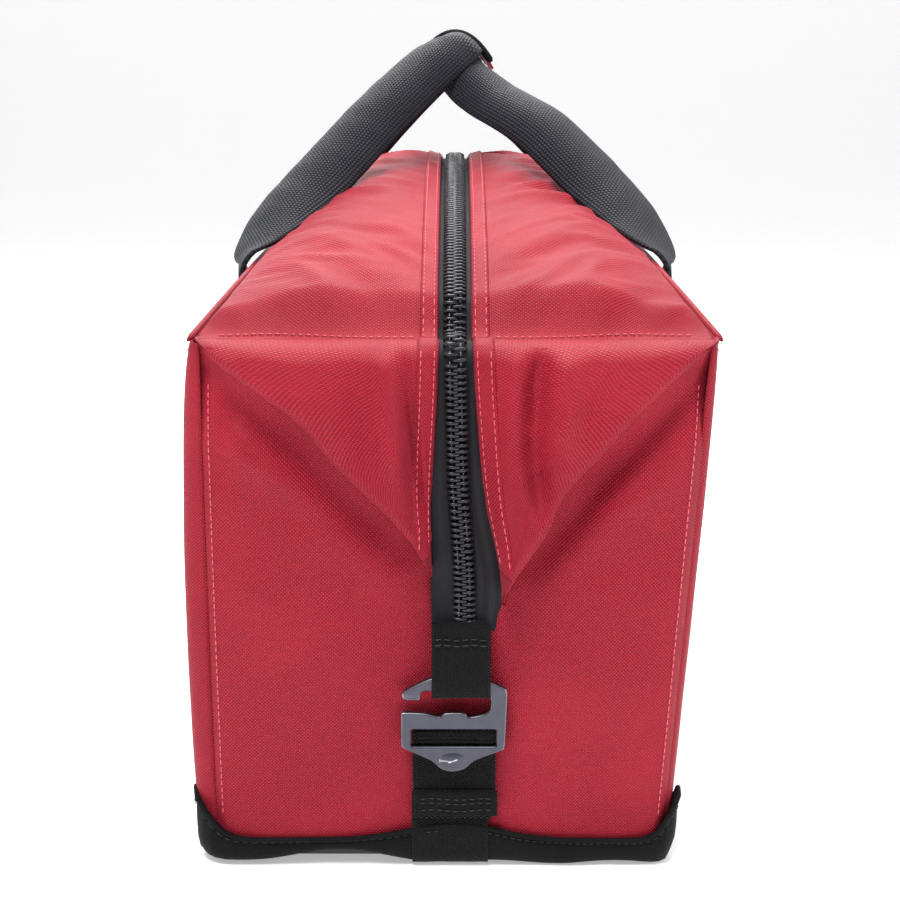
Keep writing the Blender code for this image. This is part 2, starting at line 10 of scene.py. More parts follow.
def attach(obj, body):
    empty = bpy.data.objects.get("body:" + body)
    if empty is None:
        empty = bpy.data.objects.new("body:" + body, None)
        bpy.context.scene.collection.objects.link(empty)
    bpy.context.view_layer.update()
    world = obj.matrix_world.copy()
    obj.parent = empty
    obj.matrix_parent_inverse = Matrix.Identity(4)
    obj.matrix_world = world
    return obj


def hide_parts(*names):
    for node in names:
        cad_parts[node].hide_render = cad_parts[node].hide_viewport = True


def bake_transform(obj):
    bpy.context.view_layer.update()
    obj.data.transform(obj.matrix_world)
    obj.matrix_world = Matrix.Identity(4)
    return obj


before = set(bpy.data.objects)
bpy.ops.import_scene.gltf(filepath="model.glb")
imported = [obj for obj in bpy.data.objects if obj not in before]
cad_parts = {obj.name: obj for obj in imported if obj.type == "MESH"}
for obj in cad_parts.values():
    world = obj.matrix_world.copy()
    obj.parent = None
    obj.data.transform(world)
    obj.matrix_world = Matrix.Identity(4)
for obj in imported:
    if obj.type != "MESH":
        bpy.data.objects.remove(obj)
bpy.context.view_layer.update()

# Sizes of the exact model, in metres.
HALF_LENGTH = 0.254
BASE_HALF_WIDTH = 0.111
SHOULDER_HALF_WIDTH = 0.120
SHOULDER_HEIGHT = 0.253
MID_SHOULDER_RISE = 0.039
MID_SHOULDER_PINCH = 0.030
TOP_ARCH_POWER = 2.25
SIDE_POWER = 10
RIDGE_RADIUS = 0.48691
RIDGE_CENTRE_Z = -0.162411
END_FACE = 0.2545
FOLD_Z = 0.2540
HEM_EDGE = 0.0078
HEM_WIDTH = 0.0085
WEB_WIDTH = 0.038
WEB_THICKNESS = 0.0026
LEG_Y = 0.137

# Sizes of the cloth and what is sewn to it.
FOLD_RADIUS = 0.0100  # of the cloth where it rolls over an end's upper edge
CLOTH = 0.0012
COIL_PITCH = 0.0029
COIL_REACH = 0.0049
COIL_WIRE = 0.00084
# One loop of the coil: how far out, as a share of the reach, how high, and how far along, in pitches.
COIL_LOOP = [
    (1.00, 0.0003, -0.16), (0.98, 0.0019, -0.14), (0.60, 0.0028, -0.05),
    (-0.10, 0.0026, 0.00), (-0.22, 0.0014, 0.08), (-0.06, 0.0004, 0.12),
]
THREAD = 0.00030
HIDDEN_ZIP_PANEL = 0.0105  # how far the end panel draws back under the zip's fold
FOAM_BEHIND_EAR = 0.0064
SIDE_WORD = {-1: "left", 1: "right"}
END_WORD = {-1: "near", 1: "far"}


# ---------------------------------------------------------------- numbers
def clamp(t):
    return min(1.0, max(0.0, t))


def smooth(t):
    t = clamp(t)
    return t * t * (3 - 2 * t)


def mix(a, b, t):
    return a + (b - a) * t


def through(rows, t):
    """A smooth curve through (t, value) rows."""
    if t <= rows[0][0]:
        return rows[0][1]
    for k in range(len(rows) - 1):
        t0, v0 = rows[k]
        t1, v1 = rows[k + 1]
        if t <= t1:
            s = (t - t0) / (t1 - t0)
            before = rows[k - 1] if k else rows[k]
            after = rows[k + 2] if k + 2 < len(rows) else rows[k + 1]
            m0 = (v1 - before[1]) / (t1 - before[0]) * (t1 - t0)
            m1 = (after[1] - v0) / (after[0] - t0) * (t1 - t0)
            return (
                v0 * (2 * s**3 - 3 * s**2 + 1)
                + m0 * (s**3 - 2 * s**2 + s)
                + v1 * (3 * s**2 - 2 * s**3)
                + m1 * (s**3 - s**2)
            )
    return rows[-1][1]


def spline(p0, p1, p2, p3, t):
    """A point between p1 and p2 on the smooth curve through all four."""
    square = (2 * p0 - 5 * p1 + 4 * p2 - p3) * t * t
    return 0.5 * (2 * p1 + (p2 - p0) * t + square + (3 * p1 - p0 - 3 * p2 + p3) * t**3)


def crumple(x, y, z, size, seed=0.0):
    """Smooth noise about -1 to 1 with features of that size."""
    return noise.noise(Vector((x / size + seed, y / size - seed, z / size + 0.37 * seed)))


def near_line(px, py, a, b, width):
    """1 on the line from a to b, falling to 0 at about that width from it and past its ends."""
    dx, dy = b[0] - a[0], b[1] - a[1]
    length2 = dx * dx + dy * dy
    t = ((px - a[0]) * dx + (py - a[1]) * dy) / length2
    s = clamp(t)
    away2 = (px - a[0] - s * dx) ** 2 + (py - a[1] - s * dy) ** 2
    return math.exp(-away2 / width**2) * (0.25 + 0.75 * math.sin(math.pi * mix(0.08, 0.92, s)))


def creases(px, py, rows):
    """The sum of soft folds: (start, end, height, width), where a negative height is a groove."""
    return sum(height * near_line(px, py, a, b, width) for a, b, height, width in rows)


# ---------------------------------------------------------------- the body's shape
def end_fraction(y):
    return max(0.0, 1 - (y / HALF_LENGTH) ** 2)


def shoulder_x(y):
    return SHOULDER_HALF_WIDTH - MID_SHOULDER_PINCH * end_fraction(y)


def shoulder_z(y):
    return SHOULDER_HEIGHT + MID_SHOULDER_RISE * end_fraction(y)


def ridge_z(y):
    return RIDGE_CENTRE_Z + math.sqrt(RIDGE_RADIUS**2 - y * y)


def top_z(x, y):
    share = min(1.0, abs(x) / shoulder_x(y)) ** TOP_ARCH_POWER
    return ridge_z(y) - (ridge_z(y) - shoulder_z(y)) * share


def side_x(y, z):
    q = clamp(z / shoulder_z(y))
    straight = BASE_HALF_WIDTH + (SHOULDER_HALF_WIDTH - BASE_HALF_WIDTH) * q
    return straight - (SHOULDER_HALF_WIDTH - shoulder_x(y)) * q**SIDE_POWER


def lean(x, y, z):
    """How far the body leans to the left at its near end and, turned about, at its far end."""
    share = smooth((abs(y) - 0.05) / 0.20) * (-1 if y > 0 else 1)
    return -0.0085 * share * (1 - clamp(z / 0.250)) * min(1.3, (x / 0.110) ** 2)


def end_place(end, a, depth, z):
    """A point given by how far to the right it is for someone facing that end, and how far out."""
    return Vector((-end * a, end * depth, z))


# ---------------------------------------------------------------- meshes
def link(name, mesh):
    placed = bpy.data.objects.new(name, mesh)
    bpy.context.scene.collection.objects.link(placed)
    return placed


def new_object(name, points, faces, uvs, made):
    mesh = bpy.data.meshes.new(name)
    mesh.from_pydata([tuple(p) for p in points], [], faces)
    layer = mesh.uv_layers.new(name="cloth")
    for loop in mesh.loops:
        layer.data[loop.index].uv = uvs[loop.vertex_index]
    mesh.materials.append(made)
    mesh.polygons.foreach_set("use_smooth", [True] * len(mesh.polygons))
    mesh.update()
    placed = link(name, mesh)
    return placed


def tidy_normals(placed):
    work = bmesh.new()
    work.from_mesh(placed.data)
    bmesh.ops.recalc_face_normals(work, faces=work.faces)
    work.to_mesh(placed.data)
    work.free()
    placed.data.update()


def ring_faces(start, rings, size):
    """The faces of a closed bar whose points are rings, one after another, from that point on."""
    faces = []
    for row in range(start, start + (rings - 1) * size, size):
        for i in range(size):
            j = (i + 1) % size
            faces.append((row + i, row + j, row + size + j, row + size + i))
    faces.append(tuple(start + i for i in reversed(range(size))))
    faces.append(tuple(start + (rings - 1) * size + i for i in range(size)))
    return faces


def web_section(steps, bulge, shoulder):
    """Flat webbing's outline with rounded edges: across from -1 to 1, and half a thickness each way."""
    front = [(mix(-1, 1, k / steps), 0.5) for k in range(steps + 1)]
    back = [(-across, -0.5) for across, _ in front]
    return (
        front + [(bulge, shoulder), (bulge, -shoulder)] + back + [(-bulge, -shoulder), (-bulge, shoulder)]
    )


def grid_normals(grid, outward):
    """A unit normal for each point of a grid, on the side that outward points to."""
    nu, nv = len(grid) - 1, len(grid[0]) - 1
    rows = []
    total = 0.0
    for i in range(nu + 1):
        row = []
        for j in range(nv + 1):
            du = grid[min(nu, i + 1)][j] - grid[max(0, i - 1)][j]
            dv = grid[i][min(nv, j + 1)] - grid[i][max(0, j - 1)]
            normal = du.cross(dv)
            row.append(normal.normalized() if normal.length > 1e-14 else Vector((0, 0, 1)))
            total += row[-1].dot(outward)
        rows.append(row)
    if total < 0:
        rows = [[-n for n in row] for row in rows]
    return rows, total < 0


def slab(name, surface, nu, nv, thick, outward, made):
    """A closed sheet of that thickness: surface(u, v) is its outer side."""
    grid = [[surface(i / nu, j / nv) for j in range(nv + 1)] for i in range(nu + 1)]
    normals, flipped = grid_normals(grid, Vector(outward))
    across = [0.0]
    for i in range(nu):
        across.append(across[-1] + (grid[i + 1][nv // 2] - grid[i][nv // 2]).length)
    along = [0.0]
    for j in range(nv):
        along.append(along[-1] + (grid[nu // 2][j + 1] - grid[nu // 2][j]).length)
    points = []
    uvs = []
    for side in (0, 1):
        for i in range(nu + 1):
            for j in range(nv + 1):
                points.append(grid[i][j] - normals[i][j] * (thick * side))
                uvs.append((across[i], along[j]))
    count = (nu + 1) * (nv + 1)

    def at(i, j, side):
        return side * count + i * (nv + 1) + j

    faces = []
    for i in range(nu):
        for j in range(nv):
            outer = (at(i, j, 0), at(i + 1, j, 0), at(i + 1, j + 1, 0), at(i, j + 1, 0))
            faces += [outer, tuple(k + count for k in reversed(outer))]
        faces.append((at(i + 1, 0, 0), at(i, 0, 0), at(i, 0, 1), at(i + 1, 0, 1)))
        faces.append((at(i, nv, 0), at(i + 1, nv, 0), at(i + 1, nv, 1), at(i, nv, 1)))
    for j in range(nv):
        faces.append((at(0, j, 0), at(0, j + 1, 0), at(0, j + 1, 1), at(0, j, 1)))
        faces.append((at(nu, j + 1, 0), at(nu, j, 0), at(nu, j, 1), at(nu, j + 1, 1)))
    if flipped:
        faces = [tuple(reversed(face)) for face in faces]
    return new_object(name, points, faces, uvs, made)


def tube(name, paths, radius, made, sides=6, flat=1.0):
    """Closed round bars along several lists of (point, up) rows, as one piece."""
    points = []
    faces = []
    uvs = []
    for path in paths:
        start = len(points)
        count = len(path)
        run = 0.0
        for k, (at, up) in enumerate(path):
            ahead = path[min(count - 1, k + 1)][0] - path[max(0, k - 1)][0]
            ahead.normalize()
            across = ahead.cross(up).normalized()
            rise = across.cross(ahead)
            if k:
                run += (at - path[k - 1][0]).length
            end = 0.55 if k in (0, count - 1) else 1.0
            for i in range(sides):
                angle = 2 * math.pi * i / sides
                offset = across * (math.cos(angle) * radius) + rise * (math.sin(angle) * radius * flat)
                points.append(at + offset * end)
                uvs.append((run, angle * radius))
        faces += ring_faces(start, count, sides)
    return new_object(name, points, faces, uvs, made)


def stitch_paths(surface, length, step=0.0036, long=0.0026, lift=0.0003):
    """Short thread arcs along surface(t, lift), which is length metres long."""
    count = max(1, int(length / step))
    share = long / step
    paths = []
    for k in range(count):
        rows = []
        for s, high in ((0.0, -0.6), (0.25, 0.7), (0.75, 0.7), (1.0, -0.6)):
            t = (k + 0.1 + s * share) / count
            at = surface(t, lift * high)
            up = surface(t, lift * high + 0.001) - at
            rows.append((at, up.normalized()))
        paths.append(rows)
    return paths


def sew(name, seams, made, body=None, thread=THREAD, step=0.0036, long=0.0026):
    """Rows of stitches as one piece. Each seam is surface(t, lift) and its length."""
    rows = []
    for surface, length in seams:
        rows += stitch_paths(surface, length, step, long)
    piece = tube(name, rows, thread, made, 5)
    if body:
        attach(piece, body)
    return piece


# ---------------------------------------------------------------- materials
class Nodes:
    """A material's nodes, added in short calls."""

    def __init__(self, name):
        self.made = bpy.data.materials.new(name)
        self.made.use_nodes = True
        self.tree = self.made.node_tree
        self.shader = self.tree.nodes["Principled BSDF"]

    def put(self, socket, value):
        if isinstance(value, bpy.types.NodeSocket):
            self.tree.links.new(value, socket)
        else:
            socket.default_value = value

    def math(self, operation, a, b=0.0, c=0.0):
        node = self.tree.nodes.new("ShaderNodeMath")
        node.operation = operation
        for socket, value in zip(node.inputs, (a, b, c)):
            self.put(socket, value)
        return node.outputs[0]

    def cloth(self, pitch_u, pitch_v):
        """Two phases that turn once each pitch, along and across the cloth."""
        place = self.tree.nodes.new("ShaderNodeUVMap")
        place.uv_map = "cloth"
        split = self.tree.nodes.new("ShaderNodeSeparateXYZ")
        self.put(split.inputs[0], place.outputs[0])
        u = self.math("MULTIPLY", split.outputs[0], 2 * math.pi / pitch_u)
        v = self.math("MULTIPLY", split.outputs[1], 2 * math.pi / pitch_v)
        return u, v

    def noise(self, scale, detail=3.0, rough=0.6):
        place = self.tree.nodes.new("ShaderNodeTexCoord")
        node = self.tree.nodes.new("ShaderNodeTexNoise")
        self.put(node.inputs["Vector"], place.outputs["Object"])
        node.inputs["Scale"].default_value = scale
        node.inputs["Detail"].default_value = detail
        node.inputs["Roughness"].default_value = rough
        return node.outputs[0]

    def spread(self, value, low, high, to_low, to_high):
        node = self.tree.nodes.new("ShaderNodeMapRange")
        for socket, number in zip(node.inputs, (value, low, high, to_low, to_high)):
            self.put(socket, number)
        return node.outputs[0]

    def blend(self, share, first, second):
        node = self.tree.nodes.new("ShaderNodeMix")
        node.data_type = "RGBA"
        self.put(node.inputs[0], share)
        for socket, colour in ((node.inputs[6], first), (node.inputs[7], second)):
            self.put(socket, colour if isinstance(colour, bpy.types.NodeSocket) else (*colour, 1.0))
        return node.outputs[2]

    def bump(self, height, strength, distance, under=None):
        node = self.tree.nodes.new("ShaderNodeBump")
        node.inputs["Strength"].default_value = strength
        node.inputs["Distance"].default_value = distance
        self.put(node.inputs["Height"], height)
        if under is not None:
            self.put(node.inputs["Normal"], under)
        return node.outputs[0]

    def finish(self, colour, rough, normal=None, **fixed):
        self.put(self.shader.inputs["Base Color"], colour)
        self.put(self.shader.inputs["Roughness"], rough)
        if normal is not None:
            self.put(self.shader.inputs["Normal"], normal)
        for name, value in fixed.items():
            self.shader.inputs[name.replace("_", " ")].default_value = value
        return self.made


def woven(name, dark, light, pitch, wear, rough, depth, sheen=0.0, tint=(1, 1, 1, 1)):
    """A plain or basket weave: raised crowns of yarn painted lighter as painted highlight, the hollows between them
    darker as painted shade, thread to thread variation and worn patches.
    """
    n = Nodes(name)
    u, v = n.cloth(pitch, pitch)
    crowns = n.math("MULTIPLY", n.math("SINE", u), n.math("SINE", v))
    height = n.math("MAXIMUM", crowns, 0.0)
    yarn = n.noise(1400.0, 2.0)
    broad = n.noise(14.0, 3.0, 0.55)
    # Painted highlight on the yarn's crowns and painted shade in the hollows between them: the colour runs from dark
    # to light with the crowns' height.
    share = n.spread(height, 0.0, 0.9, 0.0, 1.0)
    colour = n.blend(share, dark, light)
    colour = n.blend(n.spread(yarn, 0.45, 0.75, 0.0, 0.30), colour, light)
    colour = n.blend(n.spread(broad, 0.45, 0.70, 0.0, 0.28), colour, wear)
    low = n.bump(broad, 0.12, 0.003)
    normal = n.bump(height, 0.75, depth, low)
    normal = n.bump(yarn, 0.20, depth * 0.5, normal)
    return n.finish(
        colour,
        n.spread(yarn, 0.3, 0.7, rough - 0.06, rough + 0.06),
        normal,
        Sheen_Weight=sheen,
        Sheen_Roughness=0.45,
        Sheen_Tint=tint,
        Specular_IOR_Level=0.22,
    )


def webbing(name, dark, light, pitch, rough):
    """Heavy webbing: chunky warp crowns in offset rows, painted lighter as painted highlight with painted shade
    between them.
    """
    n = Nodes(name)
    u, v = n.cloth(pitch * 2, pitch)
    half_turn = n.math("MULTIPLY", n.math("SIGN", n.math("SINE", u)), math.pi / 2)
    warp = n.math("SINE", n.math("ADD", v, half_turn))
    rib = n.math("ABSOLUTE", n.math("SINE", u))
    height = n.math("MULTIPLY", rib, n.spread(warp, -1.0, 1.0, 0.25, 1.0))
    yarn = n.noise(1800.0, 2.0)
    broad = n.noise(30.0, 2.0)
    # Painted highlight on the warp crowns and painted shade between them: the colour runs from dark to light with
    # their height.
    colour = n.blend(n.spread(height, 0.1, 0.9, 0.0, 1.0), dark, light)
    colour = n.blend(n.spread(yarn, 0.5, 0.8, 0.0, 0.35), colour, light)
    colour = n.blend(n.spread(broad, 0.45, 0.75, 0.0, 0.25), colour, dark)
    normal = n.bump(height, 0.9, 0.0007)
    normal = n.bump(yarn, 0.25, 0.0003, normal)
    return n.finish(colour, rough, normal, Sheen_Weight=0.04, Sheen_Roughness=0.5, Specular_IOR_Level=0.20)


def herringbone(name, dark, light, pitch, rough):
    """Zip tape: fine slanted ribs that turn back at each band, painted lighter on their crowns as painted highlight
    and darker between them as painted shade.
    """
    n = Nodes(name)
    u, v = n.cloth(0.0042, pitch)
    slant = n.math("ARCSINE", n.math("SINE", u))
    height = n.math("ABSOLUTE", n.math("SINE", n.math("ADD", v, n.math("MULTIPLY", slant, 2.2))))
    yarn = n.noise(2200.0, 2.0)
    # Painted highlight on the ribs' crowns and painted shade between them: the colour runs from dark to light with
    # the ribs' height.
    colour = n.blend(n.spread(height, 0.1, 0.9, 0.0, 1.0), dark, light)
    colour = n.blend(n.spread(yarn, 0.5, 0.8, 0.0, 0.3), colour, light)
    normal = n.bump(height, 0.7, 0.0004)
    return n.finish(colour, rough, normal, Specular_IOR_Level=0.4)


def moulded(name, colour, rough, grain, speckle):
    """Plastic, thread, foam or board: a fine speckle over slow changes of shade."""
    n = Nodes(name)
    fine = n.noise(grain, 4.0)
    broad = n.noise(25.0, 2.0)
    pale = tuple(min(1.0, c * 1.8 + 0.01) for c in colour)
    shade = n.blend(n.spread(fine, 0.4, 0.7, 0.0, speckle), colour, pale)
    shade = n.blend(n.spread(broad, 0.4, 0.7, 0.0, 0.25), shade, tuple(c * 0.7 for c in colour))
    return n.finish(shade, n.spread(fine, 0.3, 0.7, rough - 0.08, rough + 0.08), n.bump(fine, 0.15, 0.0002))


def satin_metal(name, dark, light, rough):
    """Die-cast metal, bead blasted, with its raised edges brighter."""
    n = Nodes(name)
    fine = n.noise(2600.0, 3.0)
    scuff = n.noise(90.0, 5.0, 0.7)
    edge = n.tree.nodes.new("ShaderNodeNewGeometry").outputs["Pointiness"]
    colour = n.blend(n.spread(scuff, 0.40, 0.75, 0.0, 0.6), dark, light)
    # The colour goes brighter on convex edges, by their pointiness.
    colour = n.blend(n.spread(edge, 0.52, 0.60, 0.0, 0.8), colour, (0.80, 0.80, 0.84))
    rough_here = n.spread(scuff, 0.35, 0.7, rough - 0.07, rough + 0.09)
    return n.finish(colour, rough_here, n.bump(fine, 0.10, 0.0001), Metallic=1.0)


# In the weaves, webbings and zip tape below, the darker colour is painted shade between the yarns and the lighter
# one is painted highlight on their crowns.
red = woven(
    "red_nylon_weave", (0.205, 0.0025, 0.014), (0.660, 0.024, 0.050), 0.0017, (0.54, 0.024, 0.050), 0.56,
    0.00050, 0.06, (1.0, 0.75, 0.80, 1.0),
)
lining_red = woven(
    "lining_red_weave", (0.42, 0.02, 0.04), (0.60, 0.05, 0.08), 0.0014, (0.50, 0.04, 0.07), 0.40, 0.0002, 0.2
)
black_cloth = woven(
    "black_nylon_weave", (0.0003, 0.0003, 0.0006), (0.0025, 0.0023, 0.0038), 0.0016, (0.002, 0.002, 0.003),
    0.74, 0.00025,
)
handle_web = webbing("handle_webbing", (0.001, 0.001, 0.003), (0.024, 0.025, 0.042), 0.0018, 0.55)
strap_web = webbing("strap_webbing", (0.0003, 0.0003, 0.0005), (0.0022, 0.0021, 0.0034), 0.0013, 0.74)
tape_cloth = herringbone("zip_tape_weave", (0.001, 0.001, 0.002), (0.008, 0.008, 0.014), 0.0011, 0.68)
coil_plastic = moulded("zip_coil_nylon", (0.010, 0.010, 0.014), 0.30, 900.0, 0.5)
red_thread = moulded("red_thread", (0.72, 0.10, 0.13), 0.55, 3000.0, 0.6)
grey_thread = moulded("grey_thread", (0.16, 0.16, 0.20), 0.55, 3000.0, 0.6)
black_thread = moulded("black_thread", (0.016, 0.016, 0.020), 0.60, 3000.0, 0.6)
foam_grey = moulded("closed_cell_foam", (0.42, 0.42, 0.44), 0.85, 700.0, 0.5)
board_black = moulded("board_sheet", (0.030, 0.030, 0.034), 0.50, 400.0, 0.4)
metal = satin_metal("cast_metal_satin", (0.080, 0.081, 0.102), (0.130, 0.132, 0.158), 0.40)
dark_metal = satin_metal("slider_metal_dark", (0.05, 0.05, 0.058), (0.10, 0.10, 0.11), 0.32)


# ---------------------------------------------------------------- the end panels, ears and their zip
PANEL_FOLDS = [
    ((-0.112, 0.240), (-0.028, 0.158), -0.0078, 0.0085),
    ((0.112, 0.238), (0.036, 0.152), -0.0078, 0.0085),
    ((-0.098, 0.208), (-0.030, 0.150), 0.0036, 0.0110),
    ((0.098, 0.205), (0.045, 0.150), 0.0026, 0.0110),
    ((-0.113, 0.243), (-0.112, 0.215), -0.0022, 0.0050),
    ((0.113, 0.243), (0.112, 0.215), -0.0022, 0.0050),
    ((-0.094, 0.205), (-0.052, 0.184), 0.0032, 0.010),
    ((-0.088, 0.188), (-0.050, 0.165), -0.0022, 0.008),
    ((-0.100, 0.235), (-0.106, 0.190), -0.0020, 0.006),
    ((0.062, 0.178), (0.092, 0.186), 0.0024, 0.010),
    ((0.050, 0.160), (0.082, 0.150), -0.0014, 0.010),
    ((-0.080, 0.120), (-0.030, 0.095), 0.0012, 0.018),
    ((0.035, 0.110), (0.080, 0.085), 0.0014, 0.020),
    ((-0.090, 0.045), (-0.040, 0.030), -0.0012, 0.014),
    ((0.030, 0.040), (0.085, 0.050), -0.0012, 0.014),
]


def panel_depth(end, a, z, recess=0.0):
    """How far out the padded end panel stands."""
    edge = 1 - clamp(abs(a) / 0.116) ** 6
    rise = math.sin(math.pi * clamp((z + 0.01) / 0.285)) ** 0.7
    middle = math.exp(-((a / 0.027) ** 2))
    swell = 0.0058 * edge * rise * (1 - middle)
    folds = creases(a, z, PANEL_FOLDS) + 0.0009 * crumple(a, z, end, 0.030, 3.0) * edge
    under_zip = recess * smooth((0.034 - abs(a)) / 0.010) * smooth((z - 0.234) / 0.010)
    return END_FACE + 0.0008 + swell + folds * (1 - 0.8 * middle) - under_zip


def panel_half(end, z):
    """The end panel's half width, at its seam with the side panels."""
    return side_x(END_FACE, z) - 0.0035


def panel_surface(end):
    def surface(u, v):
        z = mix(0.0115, 0.2515, v)
        side = 2 * u - 1
        a = side * panel_half(end, z)
        a += lean(a * -end, end * END_FACE, z) * -end
        corner = smooth((abs(side) - 0.93) / 0.07)
        return end_place(end, a, panel_depth(end, a, z, HIDDEN_ZIP_PANEL) - 0.0035 * corner**2, z)

    return surface


# (z, distance from the middle) rows for each side of an ear.
TAPE_EDGES = {
    -1: [(0.118, 0.0102), (0.152, 0.0105), (0.183, 0.0104), (0.229, 0.0080), (0.256, 0.0070)],
    1: [(0.118, 0.0190), (0.136, 0.0215), (0.152, 0.0200), (0.183, 0.0136), (0.229, 0.0094), (0.256, 0.0080)],
}
EAR_OUTLINES = {
    -1: [
        (0.150, 0.0110), (0.157, 0.0150), (0.173, 0.0270), (0.203, 0.0570),
        (0.2194, 0.0710), (0.2308, 0.0870), (0.2440, 0.1060), (0.2540, 0.1175),
    ],
    1: [
        (0.136, 0.0220), (0.143, 0.0245), (0.168, 0.0415), (0.187, 0.0500),
        (0.2032, 0.0650), (0.224, 0.0840), (0.2444, 0.1060), (0.2540, 0.1195),
    ],
}
EAR_FOOT = {-1: 0.1505, 1: 0.1375}
EAR_HEM_FOOT = {-1: 0.158, 1: 0.150}


def tape_edge(side, z):
    """Where the red cloth starts beside the zip on an ear."""
    return side * through(TAPE_EDGES[side], z)


def ear_outline(side, z):
    """The folded edge of an ear, from the zip's foot out to the shoulder corner."""
    return side * through(EAR_OUTLINES[side], z)


EAR_FOLDS = {
    -1: [
        ((-0.021, 0.252), (-0.014, 0.166), -0.0086, 0.0052),
        ((-0.031, 0.254), (-0.023, 0.176), 0.0068, 0.0075),
        ((-0.047, 0.236), (-0.036, 0.196), -0.0022, 0.0060),
        ((-0.070, 0.240), (-0.040, 0.205), 0.0022, 0.0100),
        ((-0.100, 0.2475), (-0.070, 0.236), -0.0016, 0.0050),
    ],
    1: [
        ((0.038, 0.252), (0.036, 0.206), -0.0085, 0.0055),
        ((0.036, 0.206), (0.039, 0.178), -0.0080, 0.0052),
        ((0.026, 0.250), (0.025, 0.176), 0.0042, 0.0070),
        ((0.051, 0.252), (0.046, 0.202), 0.0062, 0.0080),
        ((0.062, 0.240), (0.055, 0.215), -0.0018, 0.0060),
        ((0.100, 0.2475), (0.074, 0.236), -0.0014, 0.0050),
    ],
}


def fold_round(bend):
    """The share of the way out that the cloth has come as it rolls over the end's fold."""
    return math.sqrt(max(0.0, 1 - (1 - bend) ** 2))


def rolled_z(v, foot, top=FOLD_Z, share=0.10):
    """The height at v on cloth that rolls over the fold in its first share, then goes down to its foot."""
    if v < share:
        return top - FOLD_RADIUS * (1 - math.cos(0.5 * math.pi * v / share))
    return mix(top - FOLD_RADIUS, foot, (v - share) / (1 - share))


def ear_point(end, side, u, z, lift=0.0):
    """A point on an ear: u runs from the zip to the folded edge."""
    outline = ear_outline(side, z)
    curl = min(0.0052, 0.35 * abs(outline - tape_edge(side, z)))
    crown = outline - side * curl
    turn = 0.76 * math.pi * clamp((u - 0.80) / 0.20)
    a = mix(tape_edge(side, z), crown, clamp(u / 0.80)) + side * curl * math.sin(turn)
    bend = clamp((FOLD_Z - z) / FOLD_RADIUS)
    under = panel_depth(end, a, min(z, 0.2440))
    low = clamp((0.250 - z) / 0.095)
    swell = 0.0036 + (0.0026 + 0.0124 * low) * math.sin(math.pi * clamp(0.04 + 0.64 * u)) ** 0.9
    swell += creases(a, z, EAR_FOLDS[side]) * smooth(bend) * smooth((u - 0.08) / 0.10)
    swell += 0.0007 * crumple(a, z, end * side, 0.016, 7.0)
    swell *= mix(1.0, 0.5 + 0.5 * math.cos(turn), smooth(bend))
    if u < 0.1:
        swell = mix(0.0048 - 0.0014 * bend, swell, smooth(u / 0.1))
    depth = mix(END_FACE - 0.0075, under + swell, fold_round(bend))
    up = lift * math.sqrt(1 - fold_round(bend) ** 2)
    return end_place(end, a, depth + lift * fold_round(bend), z + up)


def ear_surface(end, side):
    return lambda u, v: ear_point(end, side, u, rolled_z(v, EAR_FOOT[side]))


def ear_tape_surface(end):
    top = FOLD_Z - 0.0006

    def surface(u, v):
        z = rolled_z(v, 0.1190, top, 0.08)
        tuck = 0.004 * smooth((0.30 - v) / 0.3) + 0.0005
        a = mix(tape_edge(-1, z) - tuck, tape_edge(1, z) + tuck, u)
        bend = fold_round(clamp((top - z) / FOLD_RADIUS))
        puff = 0.0010 * math.cos(math.pi * (u - 0.5)) + 0.0006 * crumple(a, z, end, 0.012, 11.0)
        puff += 0.0030 * math.exp(-(((z - 0.166) / 0.034) ** 2))
        depth = mix(END_FACE - 0.0078, END_FACE + 0.0028, bend) + puff * bend
        return end_place(end, a, depth, z)

    return surface


def zip_middle(z):
    """The coil's line down an ear drifts a little to the right."""
    return through([(0.118, 0.0045), (0.150, 0.0042), (0.190, 0.0016), (0.230, 0.0005), (0.256, 0.0)], z)


def ear_coil_line(end):
    """The middle of the coil down an ear, as a function of the share of its length."""
    tape = ear_tape_surface(end)

    def line(t):
        v = mix(0.010, 0.985, t)
        left = tape(0.0, v)
        right = tape(1.0, v)
        share = (zip_middle(left.z) * -end - left.x) / (right.x - left.x)
        return tape(clamp(share), v)

    return line


def teeth(name, line, outward, length, sides=(-1, 1)):
    """A coil zip's interlocked loops along a line, each half's loops reaching past the middle."""
    count = int(length / COIL_PITCH)
    paths = []
    for k in range(count):
        for side in sides:
            t = (k + 0.5 + 0.25 * side) / count
            at = line(clamp(t))
            up = outward(clamp(t))
            ahead = (line(clamp(t + 0.004)) - line(clamp(t - 0.004))).normalized()
            rows = []
            for reach, high, slip in COIL_LOOP:
                out = Vector((side * reach * COIL_REACH, 0, 0))
                rows.append((at + out + up * high + ahead * (slip * COIL_PITCH), up))
            paths.append(rows)
    return tube(name, paths, COIL_WIRE, coil_plastic)


# ---------------------------------------------------------------- the sides and the boot
SIDE_FOLDS = [
    ((-0.20, 0.20), (-0.10, 0.17), 0.0026, 0.014),
    ((-0.16, 0.10), (-0.02, 0.13), -0.0022, 0.016),
    ((0.02, 0.19), (0.15, 0.21), 0.0024, 0.014),
    ((0.06, 0.11), (0.19, 0.08), -0.0024, 0.018),
    ((-0.21, 0.06), (-0.10, 0.05), 0.0016, 0.016),
    ((-0.05, 0.23), (0.05, 0.235), -0.0020, 0.010),
]


